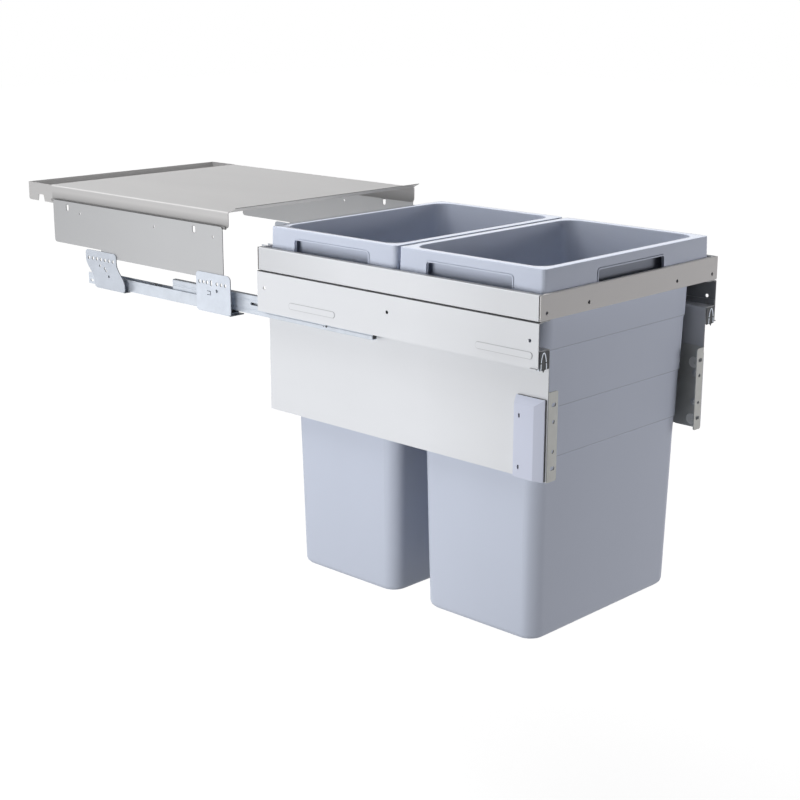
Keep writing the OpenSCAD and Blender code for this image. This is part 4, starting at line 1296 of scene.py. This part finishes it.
@dataclass
class DoorBrackets(PairedPieces):
    """The adjustable door brackets with their covers, cams and screws.

    Attributes:
        leg_x: Distance of the bracket leg's inner face from the unit's middle.
        panel_x: Distance of the panel's outer face.
        axis_y: Place of the cams and screws.
        cam_z: Heights of the cams.
        screw_z: Heights of the clamping screws.
        cam_r: Radius of a cam's head.
        cam_t: Thickness of the head.
        cam_off: How far the head sits off the cam's axis.
        lobe_r: Radius of its eccentric.
        lobe_off: How far the eccentric sits off the cam's axis.
        shaft_r: Radius of its shaft.
        keeper_r: Radius of the keeper outside the panel.
        key_r: Radius of the hex socket.
        screw_r: Radius of a screw's thread.
        screw_head_r: Radius of its head.
        washer_r: Radius of the washer under it.
        nut_r: Radius over the nut's corners.
        cover_low: Lowest corner of the plastic cover.
        cover_high: Its highest corner.
        cover_base_t: Thickness of the dark base under it.
        cover_edge: Depth of the upright edge round the cap.
        cover_t: Thickness of the cap's shell.
        bevel_y: Width of the cap's front bevel.
        bevel_z: Width of its upper bevel.
        slot_y: Place of the slots in the cap.
        slot_z: Their heights.
        slot_half: Half their width and half their height.
    """

    leg_x: float = 0.1759
    panel_x: float = 0.1786
    axis_y: float = 0.0125
    cam_z: tuple[float, float] = (-0.1358, -0.2198)
    screw_z: tuple[float, float] = (-0.1523, -0.1943)
    cam_r: float = 0.0082
    cam_t: float = 0.0022
    cam_off: float = 0.0022
    lobe_r: float = 0.0045
    lobe_off: float = -0.0012
    shaft_r: float = 0.0029
    keeper_r: float = 0.004
    key_r: float = 0.0017
    screw_r: float = 0.0024
    screw_head_r: float = 0.004
    washer_r: float = 0.0052
    nut_r: float = 0.00462
    cover_low: tuple[float, float, float] = (0.1786, 0.0035, -0.2315)
    cover_high: tuple[float, float, float] = (0.1866, 0.0505, -0.1215)
    cover_base_t: float = 0.0026
    cover_edge: float = 0.0014
    cover_t: float = 0.0016
    bevel_y: float = 0.0145
    bevel_z: float = 0.010
    slot_y: float = 0.042
    slot_z: tuple[float, float] = (-0.1475, -0.217)
    slot_half: tuple[float, float] = (0.0012, 0.003)

    def cam(self, name: str, z: float) -> Workpiece:
        """One adjusting cam: a dished head with a hex socket, an eccentric, a shaft and a keeper.

        Args:
            name: The cam's name.
            z: Its height.

        Returns:
            The cam of the right side.
        """
        x, r, off = self.leg_x - 0.0001, self.cam_r, self.cam_off
        front, lobe_end, out = x - self.cam_t, self.leg_x + 0.0015, self.panel_x + 0.0001
        piece = Workpiece.turned(name, (x, self.axis_y, z), [
            Station(front, r - 0.0005, off), Station(front + 0.0003, r - 0.0001, off),
            Station(x - 0.0003, r, off), Station(x, r - 0.0003, off),
            Station(x, self.lobe_r, self.lobe_off), Station(lobe_end, self.lobe_r, self.lobe_off),
            Station(lobe_end, self.shaft_r), Station(out, self.shaft_r),
            Station(out, self.keeper_r), Station(out + 0.001, self.keeper_r),
            Station(out + 0.0012, self.keeper_r - 0.0003),
        ])
        piece.pick(lambda co, no: no.x < -FACING and co.x < front + TOUCH)
        piece.inset(0.0011)
        piece.inset(0.0003, -0.0003)
        key = Workpiece.disc(name + "_key", (x - 0.003, self.axis_y, z), self.key_r, Axis.X, 6)
        key.pick_all()
        key.extrude((0.0024, 0, 0))
        key.weld()
        piece.carve(key)
        piece.smooth()
        return piece

    def screws(self) -> Workpiece:
        """Models one clamping screw with its nut, and copies it to the other's place.

        Returns:
            The piece of the right side, in object mode.
        """
        x, y, z = self.leg_x, self.axis_y, self.screw_z[0]
        r, thread = self.screw_head_r, self.screw_r
        end = self.panel_x + 0.0036
        screw = Workpiece.turned("clamp_screw_right_set", (x, y, z), [
            Station(x - 0.0026, 0.0019), Station(x - 0.00245, 0.0027), Station(x - 0.0019, 0.0035),
            Station(x - 0.0009, r), Station(x - 0.0009, self.washer_r - 0.0003),
            Station(x - 0.0007, self.washer_r), Station(x, self.washer_r),
            Station(x, thread), Station(end, thread), Station(end + 0.0003, thread - 0.0003),
        ])
        for wide, tall in ((0.0023, 0.0005), (0.0005, 0.0023)):
            arm = Workpiece.block("recess", (x - 0.003, y - wide, z - tall), (x - 0.0011, y + wide, z + tall))
            arm.weld()
            screw.carve(arm)
        nut = Workpiece.turned("nut", (x, y, z), [
            Station(self.panel_x, self.nut_r - 0.0004), Station(self.panel_x + 0.0004, self.nut_r),
            Station(self.panel_x + 0.0026, self.nut_r), Station(self.panel_x + 0.003, self.nut_r - 0.0004),
        ], 6)
        screw.join(nut)
        screw.join(screw.copy("second", (0, 0, self.screw_z[1] - z)))
        screw.smooth()
        return screw

    def cover_base(self) -> Workpiece:
        """Models the dark base that the cover snaps onto.

        Returns:
            The piece of the right side, in object mode.
        """
        low, high = self.cover_low, self.cover_high
        piece = Workpiece.block("cover_base_right", low, (low[0] + self.cover_base_t, high[1], high[2]))
        piece.pick(lambda co, no: abs(no.x) > FACING, Part.EDGES)
        piece.round_edges(0.0012, 4)
        piece.pick(lambda co, no: no.x > FACING)
        piece.inset(0.0018, -0.0012)
        return piece.finished()

    def cover_cap(self) -> Workpiece:
        """Models the cover's light cap: a bevelled shell with two slots.

        Returns:
            The piece of the right side, in object mode.
        """
        low, high = self.cover_low, self.cover_high
        x = low[0] + self.cover_base_t
        edge = x + self.cover_edge
        piece = Workpiece.block("cover_cap_right", (x, low[1], low[2]), high)
        for at, way in (
            ((edge, low[1], 0), (self.bevel_y, -(high[0] - edge), 0)),
            ((edge, 0, high[2]), (self.bevel_z, 0, high[0] - edge)),
        ):
            piece.trim(at, Vector(way).normalized())
        piece.weld()
        piece.pick(lambda co, no: no.x < -FACING)
        piece.drop_faces()
        piece.thicken(self.cover_t)
        wide, tall = self.slot_half
        y, out = self.slot_y, high[0] + 0.002
        for z in self.slot_z:
            cutter = Workpiece.block("slot", (x, y - wide, z - tall), (out, y + wide, z + tall))
            cutter.pick(lambda co, no: abs(no.x) > FACING, Part.EDGES)
            cutter.round_edges(wide * 0.95, 6)
            cutter.weld()
            piece.carve(cutter)
        piece.soften(0.0003, 12)
        piece.smooth(10)
        return piece

    def build(self) -> None:
        """Models the covers, cams and screws, and dresses the brackets."""
        for word, z in zip(("upper", "lower"), self.cam_z):
            cam = self.cam(f"{word}_cam_right_detail", z)
            self.fit_pair(cam, "fixing_steel", word + "_cam_{side}_body", word + "_cam", "cam_zinc")
        self.fit_pair(self.screws(), "fixing_steel", "drawer", "clamp_screws")
        self.fit_pair(self.cover_base(), "dark_plastic", "drawer")
        self.fit_pair(self.cover_cap(), "cover_plastic", "drawer", "bracket_cover")
        self.shelf.dress("door_bracket_steel", "door_bracket")
        self.shelf.dress("fixing_steel", "clamp_screws", "upper_cam", "lower_cam")
        self.shelf.dress("cover_plastic", "bracket_cover")


def corner_gap(past_one: float, past_other: float, radius: float) -> float:
    """Distance of a point from the outline of a round corner.

    Args:
        past_one: How far the point lies past the corner's centre one way.
        past_other: How far it lies past it the other way.
        radius: The corner's radius.

    Returns:
        The distance, negative inside the outline.
    """
    if past_one <= 0 or past_other <= 0:
        return max(past_one, past_other) - radius
    return math.hypot(past_one, past_other) - radius


@dataclass
class WasteBins:
    """The two lift-out bins: a wide rim with a collar, four hand openings and a stepped body.

    Attributes:
        shelf: Where finishes come from.
        centres: The bins' middles along Y, by node name.
        half_x: Half the width over the rim's top.
        half_y: Half the length over the rim's top.
        top: The rim's height.
        collar_bottom: Height of the collar's lower edge.
        bottom: Height of the bin's underside.
        flare: How far the collar stands out at its lower edge.
        rim: Width of the rim's flat top.
        wall: The wall's thickness.
        rim_round: Rounding of the rim's outer and of its inner edge.
        rim_corner: Corner radius of the collar.
        body_corner: Corner radius of the cavity at the rim.
        levels: Height shares at which the body's walls change.
        taper: How far the walls go in behind the collar.
        step: Depth of one step.
        draft: Draft of the walls below the collar.
        floor_curve: The rings of the round edge above the floor, as (inset, height) from the floor's corner.
        grip_half: Half the width of a hand opening.
        grip_top: Height of the top of a hand opening.
        grip_corner: Corner radius of a hand opening.
        grip_air: How far past a corner's centre the wall is cut, so that the corner has faces of its own.
        grip_angles: The angles in degrees at which a corner's outline is cut.
        outline: Width of the raised edge round a hand opening.
        outline_rise: How far that edge stands out.
        arc: Segments of each round corner.
    """

    shelf: FinishShelf
    centres: dict[str, float] = field(default_factory=lambda: {"front_bin": 0.132, "rear_bin": 0.389})
    half_x: float = 0.1846
    half_y: float = 0.125
    top: float = 0.0468
    collar_bottom: float = -0.0156
    bottom: float = -0.471
    flare: float = 0.0015
    rim: float = 0.013
    wall: float = 0.0025
    rim_round: tuple[float, float] = (0.0012, 0.0016)
    rim_corner: float = 0.005
    body_corner: float = 0.0224
    levels: tuple[float, ...] = (0.0, 0.1232, 0.214, 0.3673, 0.5012, 1.0)
    taper: float = 0.0021
    step: float = 0.0012
    draft: float = 0.021
    floor_curve: tuple[tuple[float, float], ...] = ((-0.0002, 0.006), (0.0006, 0.0028), (0.0026, 0.0006), (0.006, 0.0))
    grip_half: float = 0.074
    grip_top: float = 0.0324
    grip_corner: float = 0.004
    grip_air: float = 0.003
    grip_angles: tuple[int, ...] = (18, 36, 54, 72)
    outline: float = 0.0016
    outline_rise: float = 0.0009
    arc: int = 8

    def ring(self, name: str, inset: float, height: float, radius: float) -> Workpiece:
        """One level ring of the bin: a rectangle with round corners.

        Args:
            name: The ring's name.
            inset: How far it lies inside the rim's outside.
            height: Its height.
            radius: Its corner radius.

        Returns:
            The ring, as a flat face in edit mode.
        """
        x, y = self.half_x - inset, self.half_y - inset
        piece = Workpiece.sheet(name, (-x, -y, height), (x, y, height))
        piece.pick(lambda co, no: True, Part.POINTS)
        piece.round_points(radius, self.arc)
        return piece

    def cavity_rings(self) -> list[tuple[float, float]]:
        """Works out the rings at which the cavity's walls change.

        Returns:
            The rings from the rim down, each with its inset from the rim's outside and its height.
        """
        tall, soft = self.top - self.bottom, self.wall * 0.2
        inset = self.rim + self.taper
        rings = [(self.rim, self.top), (inset, self.top - tall * self.levels[1] + soft)]
        for i in range(2, len(self.levels)):
            z = self.top - tall * self.levels[i]
            inset += self.draft * tall * (self.levels[i] - self.levels[i - 1])
            if i < len(self.levels) - 1:
                rings.append((inset, z + soft))
                inset += self.step
                rings.append((inset, z - soft))
        return rings + [(inset + more, self.bottom + self.wall + up) for more, up in self.floor_curve]

    def cut_grip(self, piece: Workpiece, across: Axis, sign: int) -> None:
        """Cuts one hand opening with its raised edge into a collar's wall.

        Args:
            piece: The bin's skin, in edit mode.
            across: The axis that the wall stands across.
            sign: The side of the bin that the wall is on.
        """
        axis, run = across.value, 1 - across.value
        half = self.half_x if across is Axis.X else self.half_y
        reach, spring = self.grip_half - self.grip_corner, self.grip_top - self.grip_corner

        def on_wall(co: Vector, no: Vector) -> bool:
            """Whether a face lies in the wall, below the rim's rounding."""
            return (no[axis] * sign > FACING and co[axis] * sign > half - 0.001
                    and self.collar_bottom < co.z < self.top - 0.002)

        def at_corner(co: Vector, no: Vector) -> bool:
            """Whether a face of the wall lies at a corner of the opening."""
            return on_wall(co, no) and abs(co[run]) > reach - self.grip_air and co.z > spring - self.grip_air

        def opening_gap(co: Vector) -> float:
            """Distance of a point from the opening's outline, negative inside it."""
            return corner_gap(abs(co[run]) - reach, co.z - spring, self.grip_corner)

        def along(run_part: float, up: float = 0.0) -> Vector:
            """Makes a vector in the wall's plane.

            Args:
                run_part: Its part along the wall.
                up: Its part upwards.

            Returns:
                The vector.
            """
            way = Vector((0.0, 0.0, up))
            way[run] = run_part
            return way

        def slice_wall(wide: float, high: float) -> None:
            """Cuts the wall on both sides of the opening's middle and at a height."""
            for at, normal in ((along(-wide), along(1)), (along(wide), along(1)), ((0, 0, high), (0, 0, 1))):
                piece.pick(on_wall)
                piece.cut(at, normal)

        for grow in (0.0, self.outline):
            slice_wall(self.grip_half + grow, self.grip_top + grow)
        slice_wall(reach - self.grip_air, spring - self.grip_air)
        for grow in (0.0, self.outline):
            for s in (-1, 1):
                for angle in map(math.radians, self.grip_angles):
                    out = along(s * math.cos(angle), math.sin(angle))
                    piece.pick(lambda co, no: at_corner(co, no) and co[run] * s > 0)
                    piece.cut(along(s * reach, spring) + out * (self.grip_corner + grow), out)
        piece.pick(lambda co, no: on_wall(co, no) and opening_gap(co) < 0)
        piece.drop_faces()
        piece.pick(lambda co, no: on_wall(co, no) and opening_gap(co) < self.outline)
        piece.swell(self.outline_rise)

    def collar(self) -> Workpiece:
        """Models the outer collar as an open skin that flares towards its lower edge.

        Returns:
            The skin, in edit mode.
        """
        skin = self.ring("bin_skin", -self.flare, self.collar_bottom, self.rim_corner + self.flare)
        skin.pick_all()
        skin.extrude((0, 0, self.top - self.collar_bottom))
        skin.pick(lambda co, no: co.z > self.top - TOUCH)
        share = (self.half_x / (self.half_x + self.flare), self.half_y / (self.half_y + self.flare), 1)
        skin.scale(share, (0, 0, self.top))
        skin.pick(lambda co, no: abs(no.z) > FACING)
        skin.drop_faces()
        return skin

    def cavity(self) -> Workpiece:
        """Models the cavity as an open skin, stepped down to its floor.

        Returns:
            The skin, in edit mode.
        """
        rings = self.cavity_rings()
        inset, z = rings[0]
        skin = self.ring("cavity", inset, z, self.body_corner)
        for next_inset, next_z in rings[1:]:
            skin.pick(lambda co, no: co.z < z + TOUCH and abs(no.z) > FACING)
            skin.extrude((0, 0, next_z - z))
            skin.pick(lambda co, no: co.z < next_z + TOUCH and abs(no.z) > FACING)
            share = ((half - next_inset) / (half - inset) for half in (self.half_x, self.half_y))
            skin.scale((*share, 1), (0, 0, next_z))
            inset, z = next_inset, next_z
        skin.pick(lambda co, no: co.z > self.top - TOUCH and abs(no.z) > FACING)
        skin.drop_faces()
        return skin

    def rim_edge(self, inset: float, radius: float, near: float) -> Test:
        """Makes a test for edges at the rim's height that lie along a rectangle with round corners.

        Args:
            inset: How far the rectangle lies inside the rim's outside.
            radius: Its corner radius.
            near: The distance from it that passes.

        Returns:
            The test.
        """

        def test(co: Vector, _: Vector) -> bool:
            """Tests an edge.

            Args:
                co: The edge's middle.
                _: Its direction, which doesn't matter.

            Returns:
                Whether the middle lies there.
            """
            past_x = abs(co.x) - (self.half_x - inset - radius)
            past_y = abs(co.y) - (self.half_y - inset - radius)
            return abs(co.z - self.top) < TOUCH and abs(corner_gap(past_x, past_y, radius)) < near

        return test

    def skin(self) -> Workpiece:
        """Models one bin about the origin: its outer collar, rim and cavity as one skin with a wall behind it.

        Returns:
            The finished bin mesh, in object mode.
        """
        skin = self.collar()
        skin.join(self.cavity())
        skin.edit()
        skin.pick(lambda co, no: abs(co.z - self.top) < TOUCH, Part.EDGES)
        bpy.ops.mesh.bridge_edge_loops()
        skin.weld()
        skin.turn_to((0, 0, 1), lambda co, no: abs(co.z - self.top) < TOUCH)
        skin.pick(self.rim_edge(0.0, self.rim_corner, 0.0006), Part.EDGES)
        skin.round_edges(self.rim_round[0])
        skin.pick(self.rim_edge(self.rim, self.body_corner, 0.0012), Part.EDGES)
        skin.round_edges(self.rim_round[1])
        for across in (Axis.Y, Axis.X):
            for sign in (-1, 1):
                self.cut_grip(skin, across, sign)
        skin.thicken(self.wall)
        skin.soften(0.0004, 50)
        skin.smooth(32)
        return skin

    def build(self) -> None:
        """Models one bin, copies it to each place and dresses both."""
        skin = self.skin()
        for node, y in self.centres.items():
            piece = skin.copy(node + "_moulding", (0, y, 0))
            piece.fit_out(node + "_body", "bin_plastic", self.shelf.get("bin_plastic"), node)
            log.info("%s: %d faces", piece.obj.name, len(piece.obj.data.polygons))
        bpy.data.objects.remove(skin.obj, do_unlink=True)


@dataclass(frozen=True)
class SoftBox:
    """One soft lamp.

    Attributes:
        name: The lamp's name.
        place: Where it hangs.
        target: The point that it faces.
        size: Its width and height.
        power: Its power in watts.
        tint: Its light's colour.
    """

    name: str
    place: tuple[float, float, float]
    target: tuple[float, float, float]
    size: tuple[float, float]
    power: float
    tint: Colour = (1.0, 1.0, 1.0)

    def hang(self) -> None:
        """Hangs the lamp, out of the camera's and the reflections' sight."""
        data = bpy.data.lights.new(self.name, "AREA")
        data.shape = "RECTANGLE"
        data.size, data.size_y = self.size
        data.energy = self.power
        data.color = self.tint
        lamp = bpy.data.objects.new(self.name, data)
        bpy.context.scene.collection.objects.link(lamp)
        way = Vector(self.target) - Vector(self.place)
        lamp.visible_camera = False
        lamp.visible_glossy = False
        lamp.matrix_world = Matrix.Translation(self.place) @ way.to_track_quat("-Z", "Y").to_matrix().to_4x4()


@dataclass
class Studio:
    """Camera, floor and plain soft light.

    Attributes:
        eye: The camera's place.
        yaw: Its turn from +Y towards +X, in degrees.
        pitch: How far it looks down, in degrees.
        roll: Its roll, in degrees.
        lens: Focal length for a 36 mm sensor, in millimetres.
        floor_z: The floor's height.
        floor_glow: How bright the floor near the object looks before any lamp lights it.
        glow_reach: Distances between which that brightness rises to white.
        room_light: Strength of the even light on the object.
        lamps: The soft lamps.
    """

    eye: tuple[float, float, float] = (-1.7262, -1.2059, 0.4040)
    yaw: float = 46.54
    pitch: float = 15.05
    roll: float = -0.09
    lens: float = 71.62
    floor_z: float = -0.9
    floor_glow: float = 0.88
    glow_reach: tuple[float, float] = (1.0, 4.0)
    room_light: float = 0.05
    lamps: tuple[SoftBox, ...] = (
        SoftBox("side_box", (-1.6, 0.46, -0.14), (0.0, 0.46, -0.14), (1.0, 0.9), 16.8),
        SoftBox("top_box", (-0.8, 1.7, 2.5), (0.0, 0.75, 0.0), (2.2, 2.2), 61.0),
        SoftBox("front_box", (1.7, -2.7, 0.05), (0.0, 0.2, -0.1), (1.8, 0.8), 39.5, (1.0, 0.985, 0.995)),
    )

    def add_camera(self) -> None:
        """Places the camera at the photograph's viewing angle."""
        data = bpy.data.cameras.new("camera")
        data.lens = self.lens
        data.sensor_width = 36.0
        data.clip_end = 50.0
        camera = bpy.data.objects.new("camera", data)
        bpy.context.scene.collection.objects.link(camera)
        turn = (
            Matrix.Rotation(math.radians(-self.yaw), 4, "Z")
            @ Matrix.Rotation(math.radians(90 - self.pitch), 4, "X")
            @ Matrix.Rotation(math.radians(-self.roll), 4, "Z")
        )
        camera.matrix_world = Matrix.Translation(self.eye) @ turn
        bpy.context.scene.camera = camera

    def unlit_rays(self, tree: bpy.types.NodeTree) -> Socket:
        """One for rays from the camera, from gloss and through glass, and nothing for light on the object.

        Args:
            tree: The node tree to wire it in.

        Returns:
            The factor's socket.
        """
        ray = tree.nodes.new("ShaderNodeLightPath").outputs
        seen = wire(tree, "Math", {0: ray["Is Camera Ray"], 1: ray["Is Glossy Ray"]}, operation="MAXIMUM")
        return wire(tree, "Math", {0: seen, 1: ray["Is Transmission Ray"]}, operation="MAXIMUM")

    def add_floor(self) -> None:
        """Lays a plain pale floor that is white to the camera and in reflections, and keeps the shadow."""
        clear_selection()
        bpy.ops.mesh.primitive_plane_add(size=30.0, location=(0, 0, 0))
        floor = bpy.context.object
        floor.name = "floor"
        floor.data.transform(Matrix.Translation((0, 0, self.floor_z)))
        material = bpy.data.materials.new("floor_white")
        material.use_nodes = True
        tree = material.node_tree
        tree.nodes.clear()
        away = wire(tree, "VectorMath", {0: wire(tree, "TexCoord", {}, "Object")}, "Value", "LENGTH")
        near, far = self.glow_reach
        limits = {"From Min": near, "From Max": far, "To Min": self.floor_glow, "To Max": 1.0}
        level = wire(tree, "MapRange", {"Value": away, **limits}, "Result")
        share = wire(tree, "Math", {0: self.unlit_rays(tree), 1: level}, operation="MULTIPLY")
        matt = wire(tree, "BsdfDiffuse", {"Color": (0.3, 0.3, 0.3, 1.0)})
        glow = wire(tree, "Emission", {"Color": WHITE, "Strength": share})
        both = wire(tree, "AddShader", {0: matt, 1: glow})
        feed(tree.nodes.new("ShaderNodeOutputMaterial"), {"Surface": both})
        floor.data.materials.append(material)
        floor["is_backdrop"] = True
        clear_selection()

    def add_world(self) -> None:
        """Lights the room evenly, and shows the camera and reflections a white background."""
        world = bpy.data.worlds.new("room")
        bpy.context.scene.world = world
        world.use_nodes = True
        tree = world.node_tree
        rays = self.unlit_rays(tree)
        level = wire(tree, "MapRange", {"Value": rays, "To Min": self.room_light, "To Max": 1.0}, "Result")
        feed(tree.nodes["Background"], {"Color": WHITE, "Strength": level})

    def build(self) -> None:
        """Sets up the view transform, camera, floor, world and lamps."""
        bpy.context.scene.view_settings.view_transform = "Standard"
        self.add_camera()
        self.add_floor()
        self.add_world()
        for lamp in self.lamps:
            lamp.hang()


def main() -> None:
    """Builds the studio and each sub-assembly in order, and reports every piece."""
    logging.basicConfig(level=logging.INFO, format="%(message)s")
    Studio().build()
    shelf = FinishShelf()
    for assembly in (FixedCover, CabinetSide, Runners, DrawerFrame, DoorBrackets, WasteBins):
        assembly(shelf).build()
    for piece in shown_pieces():
        log.info("piece %s", piece.name)


if __name__ == "__main__":
    main()
